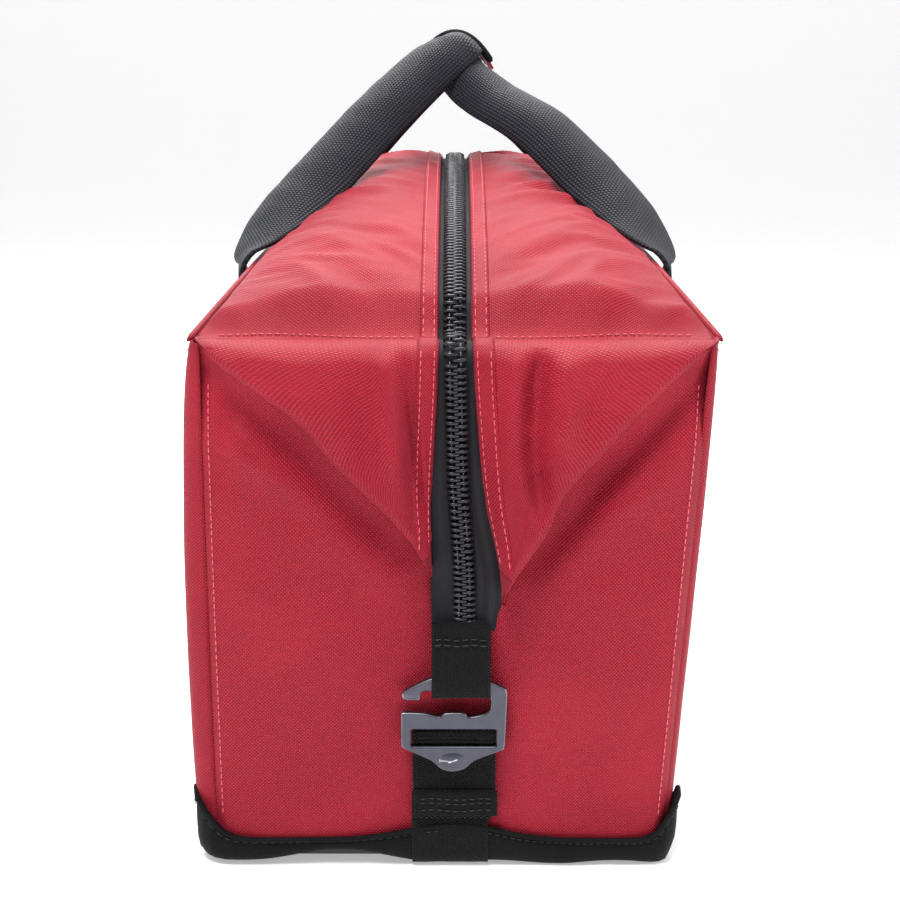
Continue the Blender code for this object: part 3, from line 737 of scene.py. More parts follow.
def side_swell(side, y, z):
    """How far a padded side panel stands out past the exact model's side."""
    q = clamp(z / shoulder_z(y))
    rise = math.sin(math.pi * clamp(q)) ** 0.35 if 0 < q < 1 else 0.0
    end = smooth((END_FACE - abs(y)) / 0.10)
    leaning = side * (1 if y < 0 else -1)
    swell = mix(0.0062 if leaning < 0 else 0.0014, 0.0056, end)
    folds = creases(y * side, z, SIDE_FOLDS) + 0.0012 * crumple(y, z, side, 0.045, 5.0)
    straps = math.exp(-(((abs(y) - LEG_Y) / 0.017) ** 4))
    return rise * (swell + folds * (0.3 + 0.7 * end)) * (1 - 0.55 * straps)


def side_point(side, y, z, lift=0.0):
    x = side * (side_x(y, z) + side_swell(side, y, z) + lift)
    return Vector((x + lean(x, y, z), y, z))


def side_surface(side):
    radius = 0.0070

    def surface(u, v):
        turn = 0.045
        end = -1 if u < 0.5 else 1
        corner = clamp(1 - min(u, 1 - u) / turn)
        angle = math.radians(mix(90, 0, corner))
        straight = clamp((u - turn) / (1 - 2 * turn))
        face = END_FACE - 0.0016
        y = mix(-(face - radius), face - radius, straight)
        if corner > 0:
            y = end * (face - radius + radius * math.cos(angle))
        z = mix(0.010, shoulder_z(y) - 0.0006, v)
        at = side_point(side, y, z)
        if corner > 0:
            seam = side * (panel_half(end, z) - 0.0012)
            seam += lean(seam, end * END_FACE, z)
            at.x = mix(seam, at.x, math.sin(angle))
        return at

    return surface


def boot_top(x, y):
    """The height of the boot's bound upper edge round the base."""
    corner = math.exp(-(((abs(x) - 0.118) / 0.012) ** 2)) * math.exp(-(((abs(y) - 0.254) / 0.016) ** 2))
    on_end = smooth((abs(y) - 0.246) / 0.006)
    strap = 0.0085 * math.exp(-((x / 0.030) ** 2)) * on_end
    side = 0.0215 + 0.0015 * math.sin(y * 37)
    return mix(side, 0.0140 + strap, on_end) + 0.0205 * corner


def base_outline(t, inset):
    """A point round the base's rounded outline; t from 0 to 1."""
    half_x = BASE_HALF_WIDTH + 0.0035 - inset
    half_y = END_FACE + 0.0038 - inset
    radius = 0.012 - min(inset, 0.006)
    straight_x, straight_y, quarter = 2 * (half_x - radius), 2 * (half_y - radius), 0.5 * math.pi * radius
    run = t * (2 * straight_x + 2 * straight_y + 4 * quarter)
    corners = [(1, -1), (1, 1), (-1, 1), (-1, -1)]
    for k, (sx, sy) in enumerate(corners):
        straight = straight_x if k % 2 == 0 else straight_y
        start = Vector((corners[k - 1][0] * (half_x - radius), corners[k - 1][1] * (half_y - radius)))
        middle = Vector((sx * (half_x - radius), sy * (half_y - radius)))
        away = Vector((0, sy)) if k % 2 == 0 else Vector((sx, 0))
        turned = Vector((sx, 0)) if k % 2 == 0 else Vector((0, sy))
        if run <= straight:
            return start + (middle - start) * (run / straight) + away * radius
        run -= straight
        if run <= quarter or k == 3:
            angle = run / quarter * 0.5 * math.pi
            return middle + away * (radius * math.cos(angle)) + turned * (radius * math.sin(angle))
        run -= quarter


def boot_point(t, rise, inset, lift=0.0):
    """On the boot's wall: rise from 0 at the floor to 1 at the bound edge."""
    flat = base_outline(t, inset - lift)
    x, y = flat
    top = boot_top(x, y)
    z = rise * top
    on_end = smooth((abs(y) - 0.20) / 0.05)
    foot = 0.0062 * on_end * math.exp(-(((x * (-1 if y > 0 else 1) + 0.055) / 0.030) ** 2))
    foot += 0.0016 * on_end * (0.5 + 0.5 * math.sin(x * 95))
    z += foot * (1 - rise)
    swell = 0.0012 * math.sin(math.pi * clamp(rise)) + 0.0007 * crumple(x, y, z, 0.014, 9.0)
    if abs(y) > 0.24:
        y += math.copysign(swell, y)
    if abs(x) > 0.09:
        x += math.copysign(swell + 0.009 * (z / 0.253), x)
    return Vector((x + lean(x, y, z), y, z))


def boot():
    around = 300
    rows = [
        (0.0, 0.060), (0.0, 0.012), (0.0, 0.0050), (0.04, 0.0020), (0.16, 0.0004), (0.34, 0.0), (0.55, 0.0),
        (0.76, 0.0), (0.94, 0.0), (1.0, 0.0006), (0.98, 0.0022), (0.70, 0.0026), (0.30, 0.0030),
        (0.22, 0.0060), (0.20, 0.0200), (0.20, 0.0600),
    ]
    points = []
    uvs = []
    run = 0.0
    for k, (rise, inset) in enumerate(rows):
        if k:
            run += max(0.002, abs(inset - rows[k - 1][1]))
        for i in range(around):
            points.append(boot_point(i / around, rise, inset))
            uvs.append((1.46 * i / around, run))
    faces = ring_faces(0, len(rows), around)
    placed = new_object("boot_cloth", points, faces, uvs, black_cloth)
    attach(placed, "shell")
    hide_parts("bottom_boot")
    rim = []
    for i in range(around + 1):
        t = i / around % 1.0
        at = boot_point(t, 0.985, 0.0, 0.0008)
        up = at - boot_point(t, 0.985, 0.02)
        rim.append((at, Vector((up.x, up.y, 0)).normalized()))
    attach(tube("boot_binding", [rim], 0.0013, black_cloth, 8), "shell")

    def seam(t, lift):
        return boot_point(t % 1.0, 0.86, 0.0, 0.0006 + lift)

    sew("boot_stitches", [(seam, 1.44)], black_thread, "shell", 0.00026)


# ---------------------------------------------------------------- the arched top
TOP_END = END_FACE - 0.0074


def top_folds(side, x, y):
    """Soft puckers that fan out from the zip's seam towards the shoulders."""
    a = abs(x)
    share = clamp((a - HEM_EDGE) / (shoulder_x(y) - HEM_EDGE))
    fan = math.sin(math.pi * share) ** 0.8
    towards = math.copysign(1.0, y)
    long = noise.noise(Vector((a * 16 + side * 5.0, y * 46 + a * 30 * towards, 2.0 * side)))
    short = noise.noise(Vector((a * 30, y * 95 + a * 50 * towards, 7.0 + side)))
    ridge = (0.55 - abs(long)) * 0.0068 + (0.4 - abs(short)) * 0.0024
    return fan * (0.0036 + ridge) + 0.0010 * crumple(x, y, side, 0.035, 2.0) * fan


def top_point(side, x, y, lift=0.0):
    ending = smooth((abs(y) - 0.226) / 0.0205)
    z = top_z(x, y) + 0.0016 + top_folds(side, x, y) * (1 - 0.9 * ending) + 0.0006
    z = mix(z, FOLD_Z, ending)
    slope = (ridge_z(y) - ridge_z(y + 0.001)) * 1000
    across = (top_z(x, y) - top_z(x + 0.001, y)) * 1000 if abs(x) > 0.01 else 0.0
    return Vector((x, y, z)) + Vector((across, slope, 1.0)).normalized() * lift


def top_surface(side, end):
    def surface(u, v):
        y = end * TOP_END * v
        x = side * mix(HEM_EDGE + 0.001, shoulder_x(y) + 0.0012, u**0.9)
        low = smooth((u - 0.93) / 0.07)
        at = top_point(side, x, y)
        at.z = mix(at.z, shoulder_z(y) - 0.0008, low * (1 - smooth((v - 0.97) / 0.03)))
        return at

    return surface


def hem_surface(side, end):
    def surface(u, v):
        x = side * (HEM_EDGE - 0.0004 + HEM_WIDTH * u)
        lift = 0.0012 - 0.0016 * (1 - smooth(u / 0.10)) - 0.0010 * smooth((u - 0.93) / 0.07)
        return top_point(side, x, end * TOP_END * v, lift)

    return surface


def tape_surface(side, end):
    def surface(u, v):
        x = side * mix(0.0004, HEM_EDGE + 0.006, u)
        at = top_point(side, side * max(abs(x), HEM_EDGE), end * (TOP_END - 0.0003) * v, -0.0012)
        at.x = x
        return at

    return surface


def ridge_point(y, lift=0.0, x=0.0):
    """On the zip's ridge, moved aside to x."""
    at = top_point(1, HEM_EDGE, y, -0.0010 + lift)
    at.x = x
    return at


def bend_top(placed):
    """Bakes the piece's placement into its mesh."""
    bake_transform(placed)


def top_quarter(side, end):
    words = SIDE_WORD[side] + "_" + END_WORD[end]
    up = (0, 0, 1)
    cloth = slab("top_cloth_" + words, top_surface(side, end), 56, 110, CLOTH, up, red)
    hem = slab("top_hem_" + words, hem_surface(side, end), 8, 110, 0.0010, up, red)
    tape = slab("top_tape_" + words, tape_surface(side, end), 8, 110, 0.0006, up, tape_cloth)

    def along(t, short):
        """From the middle of the bag to that far short of the end."""
        return end * mix(0.002, END_FACE - short, t)

    def line(t):
        return ridge_point(along(t, 0.0085))

    def facing(t):
        y = along(t, 0.006)
        return (ridge_point(y, 0.001) - ridge_point(y)).normalized()

    coil = teeth("top_coil_" + words, line, facing, 0.262, (side,))
    cords = []
    for x in (side * 0.0034, side * 0.0044):
        rows = [(ridge_point(end * mix(0.0, END_FACE - 0.0078, k / 89), 0.0007, x), Vector(up)) for k in range(90)]
        cords.append(rows)
    ribs = tube("top_tape_ribs_" + words, cords, 0.00055, tape_cloth)

    def coil_seam(t, lift):
        return ridge_point(along(t, 0.009), 0.0022 + lift, side * 0.0025)

    def hem_seam(offset):
        return lambda t, lift: top_point(side, side * (HEM_EDGE + offset), along(t, 0.009), 0.0012 + lift)

    def fold_seam(t, lift):
        x = mix(HEM_EDGE + HEM_WIDTH + 0.002, 0.108, t)
        y = end * (0.2445 - 0.0030 * t + 0.0008 * math.sin(t * 7))
        return top_point(side, side * x, y, 0.0004 + lift)

    sewing = sew(
        "top_coil_sewing_" + words, [(coil_seam, 0.262)], grey_thread,
        thread=0.00028, step=0.0026, long=0.0013,
    )
    seams = [(hem_seam(0.0016), 0.262), (hem_seam(0.0066), 0.262), (fold_seam, 0.090)]
    stitches = sew("top_stitches_" + words, seams, red_thread)
    for piece in (cloth, hem, tape, coil, ribs, sewing, stitches):
        bend_top(piece)
    return cloth, tape, coil


def shoulder_seam(side):
    """The welt and stitching where the top meets a side panel."""
    rows = []
    for k in range(121):
        y = mix(-0.2500, 0.2500, k / 120)
        at = Vector((side * (shoulder_x(y) + 0.0012), y, shoulder_z(y) - 0.0002))
        rows.append((at, Vector((side, 0, 0.6)).normalized()))
    word = SIDE_WORD[side]
    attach(tube("shoulder_welt_" + word, [rows], 0.0015, red, 8), "shell")

    def seam(t, lift):
        y = mix(-0.2480, 0.2480, t)
        return side_point(side, y, shoulder_z(y) - 0.0062, 0.0004 + lift)

    sew("side_stitches_" + word, [(seam, 0.53)], red_thread, "shell")


# ---------------------------------------------------------------- each end's pieces
def end_pieces(end):
    word = END_WORD[end]
    outward = (0, end, 0.2)
    surface = panel_surface(end)
    panel = slab("end_cloth_" + word, surface, 110, 110, CLOTH, outward, red)
    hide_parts("end_panel_" + word)
    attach(panel, "shell")

    def corner_seam(side):
        return lambda t, lift: (
            surface(0.5 + 0.480 * side, mix(0.06, 0.93, t)) + Vector((0, end * (0.0004 + lift), 0))
        )

    seams = [(corner_seam(side), 0.215) for side in (-1, 1)]
    sew("corner_stitches_" + word, seams, red_thread, "shell")
    for side in (-1, 1):
        ear_half(end, side, outward)
    ear_zip(end, outward)
    hook_pieces(end, word)
    tab_pieces(end, word)


def ear_half(end, side, outward):
    """An ear's cloth on one side of the zip, with its hem and stitching."""
    ear = "ear_" + END_WORD[end]
    name = SIDE_WORD[side * -end]
    cloth = slab(f"{ear}_cloth_{name}", ear_surface(end, side), 60, 90, CLOTH, outward, red)
    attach(cloth, ear)
    if side < 0:
        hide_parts(ear)
    foot = EAR_HEM_FOOT[side]

    def on_hem(across, z, lift):
        width = abs(ear_outline(side, z) - tape_edge(side, z))
        return ear_point(end, side, min(0.8, across / max(width, 0.004)), z, lift)

    def hem(u, v):
        lift = 0.0010 - 0.0018 * (1 - smooth(u / 0.12)) - 0.0010 * smooth((u - 0.92) / 0.08)
        return on_hem(HEM_WIDTH * u - 0.0002, rolled_z(v, foot), lift)

    def seam(offset):
        return lambda t, lift: on_hem(offset, mix(0.250, foot + 0.004, t), 0.0012 + lift)

    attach(slab(f"{ear}_hem_{name}", hem, 8, 60, 0.0009, outward, red), ear)
    seams = [(seam(0.0015), 0.095), (seam(0.0066), 0.095)]
    sew(f"{ear}_stitches_{name}", seams, red_thread, ear)


def ear_zip(end, outward):
    """The tape, coil, ribs and sewing of the zip down an ear."""
    word = END_WORD[end]
    ear = "ear_" + word
    surface = ear_tape_surface(end)
    tape = slab(ear + "_tape_cloth", surface, 20, 70, 0.0008, outward, tape_cloth)
    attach(tape, ear)
    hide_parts("ear_tape_" + word)
    line = ear_coil_line(end)

    def facing(t):
        v = mix(0.010, 0.985, t)
        along = surface(0.5, min(1.0, v + 0.01)) - surface(0.5, max(0.0, v - 0.01))
        normal = Vector((1, 0, 0)).cross(along).normalized()
        return normal if normal.dot(Vector((0, end, 0.3))) > 0 else -normal

    def beside(offset, base):
        return lambda t, lift: line(t) + Vector((offset, 0, 0)) + facing(t) * (base + lift)

    coil = teeth(ear + "_coil_teeth", line, facing, 0.134)
    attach(coil, ear)
    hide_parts("ear_coil_" + word)
    cords = []
    for offset in (-0.0047, -0.0037, 0.0037, 0.0047):
        place = beside(offset, 0.0005)
        cords.append([(place(k / 59, 0.0), facing(k / 59)) for k in range(60)])
    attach(tube(ear + "_tape_ribs", cords, 0.00055, tape_cloth), ear)
    seams = [(beside(offset, 0.0022), 0.134) for offset in (-0.0025, 0.0025)]
    sew(ear + "_coil_sewing", seams, grey_thread, ear, 0.00028, 0.0026, 0.0013)


def strip(name, path, half, centre, end, wave):
    """Strap webbing along a path of (depth, z) rows at one end, rounded at its edges."""
    count = len(path)
    normals = []
    for k in range(count):
        after, before = path[min(count - 1, k + 1)], path[max(0, k - 1)]
        ahead = Vector((after[0] - before[0], after[1] - before[1])).normalized()
        normal = Vector((-ahead.y, ahead.x))
        if normal.x < 0 if k == 0 else normal.dot(normals[-1]) < 0:
            normal = -normal
        normals.append(normal)
    section = web_section(12, 1.012, 0.25)
    points = []
    uvs = []
    run = 0.0
    for k, ((depth, z), normal) in enumerate(zip(path, normals)):
        if k:
            run += math.hypot(depth - path[k - 1][0], z - path[k - 1][1])
        for s, t in section:
            offset = t * STRAP_THICKNESS + wave * crumple(s * 0.02, z, depth, 0.008, 4.0)
            points.append(end_place(end, centre + s * half, depth + normal.x * offset, z + normal.y * offset))
            uvs.append((s * half + 0.1, run))
    faces = ring_faces(0, count, len(section))
    placed = new_object(name, points, faces, uvs, strap_web)
    tidy_normals(placed)
    return placed


def eased(rows, steps):
    """Rows of points joined by a smooth curve."""
    out = []
    for k in range(len(rows) - 1):
        before = rows[max(k - 1, 0)]
        after = rows[min(k + 2, len(rows) - 1)]
        for i in range(steps):
            fours = zip(before, rows[k], rows[k + 1], after)
            out.append(tuple(spline(*four, i / steps) for four in fours))
    out.append(tuple(rows[-1]))
    return out


def cut_corners(rows, share):
    out = []
    for k, (x0, z0) in enumerate(rows):
        x1, z1 = rows[(k + 1) % len(rows)]
        out.append((mix(x0, x1, share), mix(z0, z1, share)))
        out.append((mix(x0, x1, 1 - share), mix(z0, z1, 1 - share)))
    return out


HOOK_OUTLINE = [
    (-0.0249, 0.0915), (-0.0105, 0.0990), (0.0020, 0.1003), (0.0148, 0.0977), (0.0240, 0.0931), (0.0247, 0.0913),
    (0.0236, 0.0640), (0.0228, 0.0629), (0.0093, 0.0577), (0.0048, 0.0533), (-0.0012, 0.0518), (-0.0066, 0.0533),
    (-0.0108, 0.0577), (-0.0240, 0.0635), (-0.0251, 0.0649), (-0.0250, 0.0810), (-0.0244, 0.0816), (-0.0140, 0.0813),
    (-0.0070, 0.0793), (-0.0048, 0.0815), (0.0047, 0.0815), (0.0065, 0.0791), (0.0140, 0.0808), (0.0166, 0.0833),
    (0.0170, 0.0871), (0.0160, 0.0905), (0.0138, 0.0923), (-0.0142, 0.0923), (-0.0158, 0.0910), (-0.0161, 0.0882),
    (-0.0168, 0.0876), (-0.0240, 0.0878),
]
HOOK_SLOT = [(-0.0204, 0.0647), (0.0196, 0.0647), (0.0196, 0.0732), (-0.0204, 0.0732)]
HOOK_FRONT = 0.2662
HOOK_THICK = 0.0040
HOOK_EDGE = 0.00085  # the radius of the hook's edges
STRAP_THICKNESS = 0.0015


def hook_plate(end, word):
    """The hook cast from its outline, with rounded edges, and the low boss under its slot."""
    curve = bpy.data.curves.new("hook_line_" + word, "CURVE")
    curve.dimensions = "2D"
    curve.fill_mode = "BOTH"
    curve.extrude = HOOK_THICK / 2 - HOOK_EDGE
    curve.bevel_depth = HOOK_EDGE
    curve.bevel_resolution = 3
    curve.offset = -HOOK_EDGE
    for rows in (cut_corners(cut_corners(HOOK_OUTLINE, 0.18), 0.25), cut_corners(HOOK_SLOT, 0.035)):
        line = curve.splines.new("POLY")
        line.points.add(len(rows) - 1)
        for point, (a, z) in zip(line.points, rows):
            point.co = (a, z, 0, 1)
        line.use_cyclic_u = True
    source = link("hook_line_" + word, curve)
    bpy.context.view_layer.update()
    made = bpy.data.meshes.new_from_object(source.evaluated_get(bpy.context.evaluated_depsgraph_get()))
    bpy.data.objects.remove(source)
    work = bmesh.new()
    work.from_mesh(made)
    bmesh.ops.remove_doubles(work, verts=work.verts, dist=0.00001)
    bmesh.ops.triangulate(work, faces=[f for f in work.faces if len(f.verts) > 4])
    for vertex in work.verts:
        x, y, z = vertex.co
        vertex.co = end_place(end, x, HOOK_FRONT - HOOK_THICK / 2 + z, y)
    bmesh.ops.recalc_face_normals(work, faces=work.faces)
    work.to_mesh(made)
    work.free()
    made.materials.clear()
    made.materials.append(metal)
    for polygon in made.polygons:
        polygon.use_smooth = abs(polygon.normal.y) < 0.995
    plate = link("hook_plate_" + word, made)
    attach(plate, "hook_" + word)
    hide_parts("g_hook_" + word)

    def boss(u, v):
        angle = math.pi * (2 * u - 1)
        r = mix(0.003, 1.0, v)
        a = -0.0008 + 0.0072 * r * math.cos(angle)
        z = 0.0578 + 0.0044 * r * math.sin(angle)
        return end_place(end, a, HOOK_FRONT - 0.0002 + 0.0010 * (1 - r * r), z)

    lobe = slab("hook_lobe_" + word, boss, 40, 10, 0.0005, (0, end, 0), metal)
    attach(lobe, "hook_" + word)


# (depth, z) rows of the webbing loop through the hook's slot, and of the tab's fold over the hook.
LOOP_PATH = [
    (0.2592, 0.0385), (0.2598, 0.0500), (0.2604, 0.0590), (0.2630, 0.0655), (0.2640, 0.0692),
    (0.2630, 0.0728), (0.2606, 0.0738), (0.2592, 0.0715), (0.2586, 0.0600), (0.2582, 0.0400),
]
TAB_PATH = [
    (0.2596, 0.1235), (0.2620, 0.1243), (0.2638, 0.1225), (0.2650, 0.1150), (0.2676, 0.1030), (0.2685, 0.0960),
    (0.2680, 0.0912), (0.2660, 0.0897), (0.2634, 0.0905), (0.2612, 0.0960), (0.2602, 0.1080), (0.2600, 0.1200),
]
# The layers of the hook webbing's sewn foot: their path, half width and centre. The last goes under the bag.
FOOT_LAYERS = [
    ([(0.2606, 0.0402), (0.2622, 0.0384), (0.2622, 0.0342), (0.2622, 0.0282)], 0.0196, 0.0004),
    ([(0.2588, 0.0385), (0.2604, 0.0367), (0.2604, 0.03235), (0.2604, 0.0262)], 0.0184, -0.0010),
    (
        [
            (0.2572, 0.0380), (0.2588, 0.0360), (0.2588, 0.030), (0.2594, 0.020), (0.2594, 0.010),
            (0.2586, 0.0042), (0.2554, 0.0016), (0.2480, 0.0010), (0.2360, 0.0010),
        ],
        0.0180,
        -0.0021,
    ),
]


def hook_pieces(end, word):
    hook_plate(end, word)
    hook = "hook_" + word
    loop = strip("hook_loop_web_" + word, eased(LOOP_PATH, 6), 0.0193, -0.0002, end, 0.0003)
    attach(loop, hook)
    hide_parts("hook_loop_" + word)
    ribs = []
    for k, (z, bow) in enumerate(((0.0664, 1), (0.0686, 0.4), (0.0708, 1))):
        row = []
        for i in range(40):
            s = i / 39
            depth = 0.2644 + 0.0004 * math.sin(s * 3 + k)
            at = end_place(end, mix(-0.0188, 0.0184, s), depth, z + 0.0006 * math.sin(s * 3.1 + 0.4) * bow)
            row.append((at, Vector((0, end, 0))))
        ribs.append(row)
    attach(tube("hook_loop_ribs_" + word, ribs, 0.00055, strap_web), hook)
    for k, (rows, half, centre) in enumerate(FOOT_LAYERS, 1):
        layer = strip(f"hook_strap_web_{k}_{word}", eased(rows, 5), half, centre, end, 0.0002)
        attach(layer, "shell")
    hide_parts("hook_strap_" + word)

    def seam(z):
        return lambda t, lift: end_place(
            end, mix(-0.0165, 0.0180, t), 0.26305 + lift, z + 0.0004 * math.sin(9 * t)
        )

    seams = [(seam(z), 0.0345) for z in (0.0368, 0.0345, 0.0310)]
    sew("hook_strap_stitches_" + word, seams, black_thread, "shell", 0.00028)


def tab_pieces(end, word):
    """The webbing tab at the zip's foot, folded over the hook."""
    tab = strip("end_tab_web_" + word, eased(TAB_PATH, 5), 0.0134, 0.0030, end, 0.0004)
    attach(tab, "ear_" + word)
    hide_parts("end_tab_" + word)

    def seam(z, depth):
        return lambda t, lift: end_place(
            end, mix(-0.0095, 0.0155, t), depth + 0.0008 + lift, z + 0.0003 * math.sin(11 * t)
        )

    seams = [(seam(0.1172, 0.2650), 0.025), (seam(0.1148, 0.2660), 0.025)]
    sew("end_tab_stitches_" + word, seams, black_thread, "ear_" + word, 0.00028)


# ---------------------------------------------------------------- handles and their wrap
# From a left handle's foot (0) to the middle of its grip (1): centre, direction across, width and dome.
HANDLE_ROWS = [
    (0.0000, (-0.1104, -0.1370, 0.2690), (0.00, 1.00, 0.00), 0.0380, 0.0000),
    (0.0900, (-0.1090, -0.1360, 0.2810), (-0.20, 0.95, 0.08), 0.0380, 0.0010),
    (0.2300, (-0.0925, -0.1210, 0.3020), (-0.60, 0.72, 0.25), 0.0370, 0.0050),
    (0.3800, (-0.0715, -0.1030, 0.3225), (-0.76, 0.50, 0.36), 0.0350, 0.0070),
    (0.5800, (-0.0435, -0.0800, 0.3525), (-0.84, 0.36, 0.38), 0.0320, 0.0085),
    (0.7500, (-0.0205, -0.0610, 0.3745), (-0.93, 0.20, 0.26), 0.0300, 0.0080),
    (0.8500, (-0.0050, -0.0485, 0.3880), (-0.99, 0.06, 0.08), 0.0290, 0.0080),
    (0.9200, (0.0000, -0.0365, 0.3930), (-1.00, 0.00, 0.00), 0.0290, 0.0095),
    (1.0000, (0.0000, 0.0000, 0.3930), (-1.00, 0.00, 0.00), 0.0290, 0.0095),
]
# How far the right handle hangs below the left one on the way to the grip.
HANDLE_DROP = [(0.0, 0.0), (0.5, 0.0), (0.78, 0.0128), (0.87, 0.0110), (0.94, 0.0054), (1.0, 0.0054)]
BOX_LOW, BOX_HIGH, BOX_HALF = 0.226, 0.254, 0.0155  # the crossed box sewn at the top of a handle's leg


def handle_place(s):
    rows = HANDLE_ROWS
    k = 0
    while k < len(rows) - 2 and s > rows[k + 1][0]:
        k += 1
    first, second = rows[k], rows[k + 1]
    t = clamp((s - first[0]) / (second[0] - first[0]))
    four = (rows[max(k - 1, 0)], first, second, rows[min(k + 2, len(rows) - 1)])
    centre = spline(*(Vector(row[1]) for row in four), t)
    width = (Vector(first[2]) * (1 - t) + Vector(second[2]) * t).normalized()
    return centre, width, mix(first[3], second[3], t), mix(first[4], second[4], t)


def handle_frames(side, steps=90):
    """The centre, directions, width and dome at each step from a handle's near foot to its far one."""
    frames = []
    for k in range(2 * steps + 1):
        s = 1 - abs(k - steps) / steps
        centre, width, chord, dome = handle_place(s)
        tangent = (handle_place(min(1.0, s + 0.01))[0] - handle_place(max(0.0, s - 0.01))[0]).normalized()
        width = (width - tangent * width.dot(tangent)).normalized()
        face = tangent.cross(width)
        if side > 0:
            centre = centre - Vector((0, 0, through(HANDLE_DROP, s)))
        end = -1 if k > steps else 1
        turned = [Vector((-side * v.x, end * v.y, v.z)) for v in (centre, width, face)]
        frames.append((*turned, chord, dome))
    return frames


def handle(side):
    word = SIDE_WORD[side]
    frames = handle_frames(side)
    section = web_section(16, 1.02, 0.2)
    points = []
    uvs = []
    run = 0.0
    for k, (centre, width, face, chord, dome) in enumerate(frames):
        if k:
            run += (centre - frames[k - 1][0]).length
        for s, t in section:
            normal = (face + width * (4 * dome * s / chord)).normalized()
            ripple = 0.0004 * crumple(centre.x + s * 0.01, centre.y, centre.z, 0.012, 6.0)
            at = centre + width * (s * chord / 2) - face * (dome * s * s - 0.3 * dome)
            points.append(at + normal * (t * WEB_THICKNESS + ripple))
            uvs.append((s * 0.019 + 0.1, run))
    faces = ring_faces(0, len(frames), len(section))
    web = new_object("handle_web_" + word, points, faces, uvs, handle_web)
    tidy_normals(web)
    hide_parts("handle_" + word)
    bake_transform(web)
    for end in (-1, 1):
        handle_leg(side, end)


def handle_leg(side, end):
    """A handle's leg, sewn down the side with a crossed box at its top."""
    words = SIDE_WORD[side] + "_" + END_WORD[end]

    def on_leg(across, z, lift):
        return side_point(side, end * LEG_Y + across, z, lift)

    def strap(u, v):
        return on_leg((u - 0.5) * WEB_WIDTH, mix(0.0170, 0.2660, v), 0.0034)

    def down(across):
        return lambda t, lift: on_leg(across, mix(0.030, 0.255, t), 0.0036 + lift)

    def bar(z):
        return lambda t, lift: on_leg(mix(-BOX_HALF, BOX_HALF, t), z, 0.0036 + lift)

    def slanted(way):
        return lambda t, lift: on_leg(
            way * mix(-BOX_HALF, BOX_HALF, t), mix(BOX_LOW, BOX_HIGH, t), 0.0036 + lift
        )

    leg = slab("side_web_" + words, strap, 10, 70, WEB_THICKNESS, (side, 0, 0), strap_web)
    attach(leg, "shell")
    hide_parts("side_strap_" + words)
    seams = [(down(-BOX_HALF), 0.225), (down(BOX_HALF), 0.225), (bar(BOX_LOW), 0.031), (bar(BOX_HIGH), 0.031)]
    seams += [(slanted(-1), 0.042), (slanted(1), 0.042)]
    sew("side_web_stitches_" + words, seams, black_thread, "shell", 0.00032)


def wrap_point(s, y, lift):
    """Over the two handles at the grip: s from -1 to 1 across the webbing."""
    slope = 4 * 0.0100 * s / 0.030
    length = math.sqrt(1 + slope * slope)
    z = 0.3930 - 0.0100 * s * s + 0.0012
    return Vector((0.0150 * s + lift * slope / length, y, z + lift / length))


def grip():
    def outer(u, v):
        s = mix(-1.20, 1.20, u)
        y = mix(-0.0295, 0.0295, v)
        swell = 0.0009 * math.sin(math.pi * v) + 0.0004 * crumple(s * 0.015, y, 0, 0.010, 8.0)
        return wrap_point(s, y, 0.0036 + swell)

    def inner(u, v):
        return wrap_point(mix(-1.16, 1.34, u), mix(-0.0315, 0.0315, v), 0.0024)

    def seam(y):
        return lambda t, lift: wrap_point(mix(-1.1, 1.1, t), y, 0.0042 + lift)

    pad = slab("grip_pad", outer, 30, 30, 0.0014, (0, 0, 1), black_cloth)
    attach(pad, "handle_left")
    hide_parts("grip_wrap")
    lining = slab("grip_lining", inner, 30, 16, 0.0010, (0, 0, 1), lining_red)
    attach(lining, "handle_left")
    for end in (-1, 1):
        rows = []
        for k in range(41):
            s = mix(-1.22, 1.22, k / 40)
            at = wrap_point(s, end * 0.0312, 0.0028)
            rows.append((at, (wrap_point(s, end * 0.0312, 0.0048) - at).normalized()))
        word = END_WORD[end]
        bound = tube("grip_bound_edge_" + word, [rows], 0.0024, black_cloth, 10, 0.85)
        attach(bound, "handle_left")
        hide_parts("grip_binding_" + word)
    seams = [(seam(-0.0275), 0.040), (seam(0.0275), 0.040)]
    sew("grip_stitches", seams, black_thread, "handle_left")


# ---------------------------------------------------------------- the exact model's own pieces
def leaned_copy(node, made):
    """The exact piece, moved over with the lean of the cloth round it."""
    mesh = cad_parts[node].data.copy()
    layer = mesh.uv_layers.new(name="cloth")
    for vertex in mesh.vertices:
        x, y, z = vertex.co
        vertex.co.x += lean(x, y, z)
        if node.startswith("end_foam") and abs(y) > END_FACE - 0.004 and z > 0.15:
            vertex.co.y -= math.copysign(FOAM_BEHIND_EAR, y)
    for loop in mesh.loops:
        x, y, z = mesh.vertices[loop.vertex_index].co
        layer.data[loop.index].uv = (x + y, z)
    mesh.materials.clear()
    mesh.materials.append(made)
    placed = link(node + "_fitted", mesh)
    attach(placed, "shell")
    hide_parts(node)
    return placed


def finish_metal(node, edge):
    """The dark metal, and edges rounded by that much, on a piece kept as it is."""
    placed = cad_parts[node]
    placed.data.materials.clear()
    placed.data.materials.append(dark_metal)
    bevel = placed.modifiers.new("edge", "BEVEL")
    bevel.width = edge
    bevel.segments = 2
    bevel.limit_method = "ANGLE"
    bevel.angle_limit = math.radians(35)


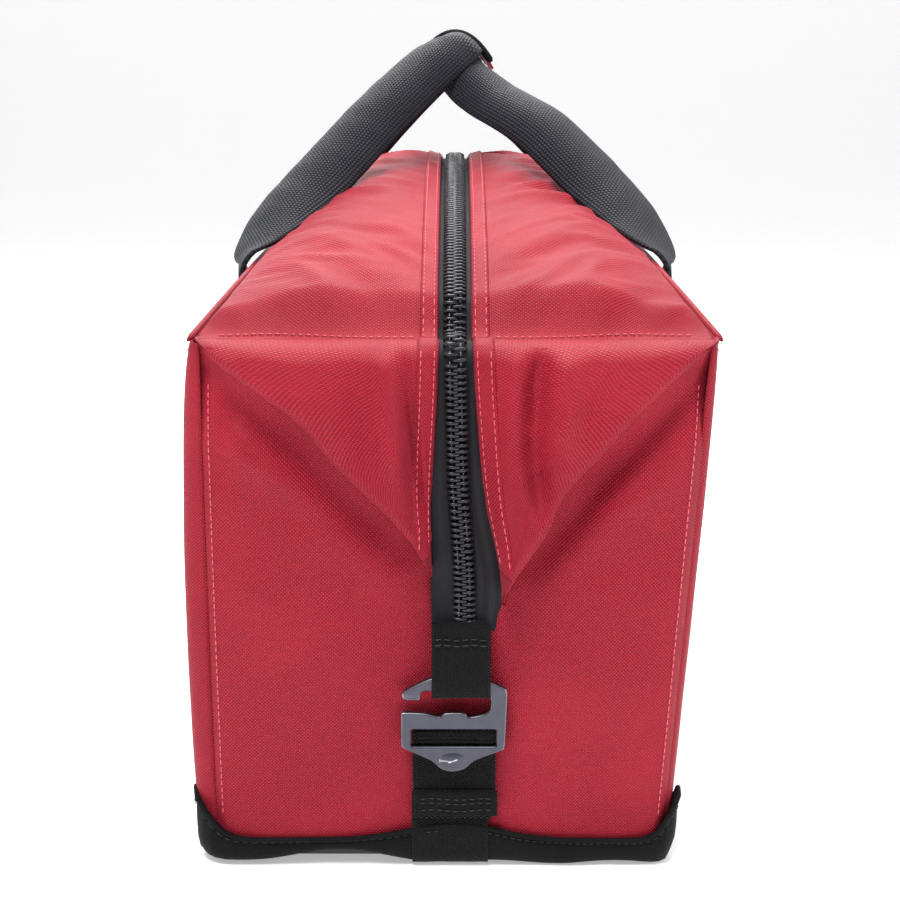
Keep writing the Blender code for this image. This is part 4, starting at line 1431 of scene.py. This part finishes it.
# ---------------------------------------------------------------- camera, light and floor
# Each lamp's name, place, size, power and what it points at.
LAMPS = [
    ("key", (-0.35, -0.95, 1.90), 0.7, 33.0, (0, -0.1, 0.16)),
    ("right", (1.60, -0.50, 0.90), 0.8, 9.0, (0, 0, 0.16)),
    ("top", (0.0, 0.55, 1.40), 1.0, 27.0, (0, 0.05, 0.2)),
    ("back", (-0.3, 1.8, 0.9), 1.2, 14.0, (0, 0, 0.2)),
]
FLOOR_FRONT, FLOOR_BACK, CURVE_RADIUS, WALL_TOP, FLOOR_HALF = -4.0, 3.0, 1.5, 5.0, 6.0


def camera_and_light():
    scene = bpy.context.scene
    camera = link("camera", bpy.data.cameras.new("camera"))
    camera.data.sensor_width = 36.0
    camera.data.lens = 62.0
    camera.data.clip_start = 0.01
    camera.location = (0.0, -0.9422, 0.3593)
    camera.rotation_euler = (math.radians(77.3), 0.0, math.radians(0.18))
    scene.camera = camera
    for name, place, size, power, aim in LAMPS:
        light = bpy.data.lights.new(name, "AREA")
        light.size = size
        light.energy = power
        lamp = link(name, light)
        lamp.location = place
        lamp.rotation_euler = (Vector(aim) - Vector(place)).to_track_quat("-Z", "Y").to_euler()
    world = bpy.data.worlds.new("studio")
    world.use_nodes = True
    background = world.node_tree.nodes["Background"]
    background.inputs["Color"].default_value = (1.0, 1.0, 1.0, 1.0)
    background.inputs["Strength"].default_value = 0.40
    scene.world = world
    scene.view_settings.view_transform = "Standard"


def stage():
    """A pale floor that curves up into a wall."""
    profile = [(FLOOR_FRONT, 0.0), (FLOOR_BACK, 0.0)]
    for step in range(1, 13):
        angle = step * math.pi / 24
        profile.append((FLOOR_BACK + CURVE_RADIUS * math.sin(angle), CURVE_RADIUS * (1 - math.cos(angle))))
    profile.append((FLOOR_BACK + CURVE_RADIUS, WALL_TOP))
    points = [(x, y, z - 0.0001) for y, z in profile for x in (-FLOOR_HALF, FLOOR_HALF)]
    faces = [(2 * k, 2 * k + 1, 2 * k + 3, 2 * k + 2) for k in range(len(profile) - 1)]
    white = Nodes("studio_white").finish(
        (0.93, 0.93, 0.94, 1.0), 0.85, Emission_Color=(1.0, 1.0, 1.0, 1.0), Emission_Strength=0.36
    )
    mesh = bpy.data.meshes.new("studio_floor")
    mesh.from_pydata(points, [], faces)
    mesh.materials.append(white)
    mesh.polygons.foreach_set("use_smooth", [True] * len(mesh.polygons))
    link("studio_floor", mesh)


# ---------------------------------------------------------------- putting it together
camera_and_light()
stage()
boot()
for side in (-1, 1):
    word = SIDE_WORD[side]
    cloth = slab("side_cloth_" + word, side_surface(side), 150, 80, CLOTH, (side, 0, 0), red)
    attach(cloth, "shell")
    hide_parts("side_panel_" + word, "top_border_" + word)
    shoulder_seam(side)
    cloth, tape, coil = top_quarter(side, -1)
    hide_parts("top_half_" + word)
    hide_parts("zip_tape_" + word)
    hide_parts("zip_coil_" + word)
    top_quarter(side, 1)
    handle(side)
for end in (-1, 1):
    end_pieces(end)
grip()

leaned_copy("base_board", board_black)
leaned_copy("inner_liner", lining_red)
for node in ("base_foam", "side_foam_left", "side_foam_right", "end_foam_near", "end_foam_far"):
    leaned_copy(node, foam_grey)
finish_metal("zip_slider", 0.0006)
finish_metal("pull_tab", 0.0005)
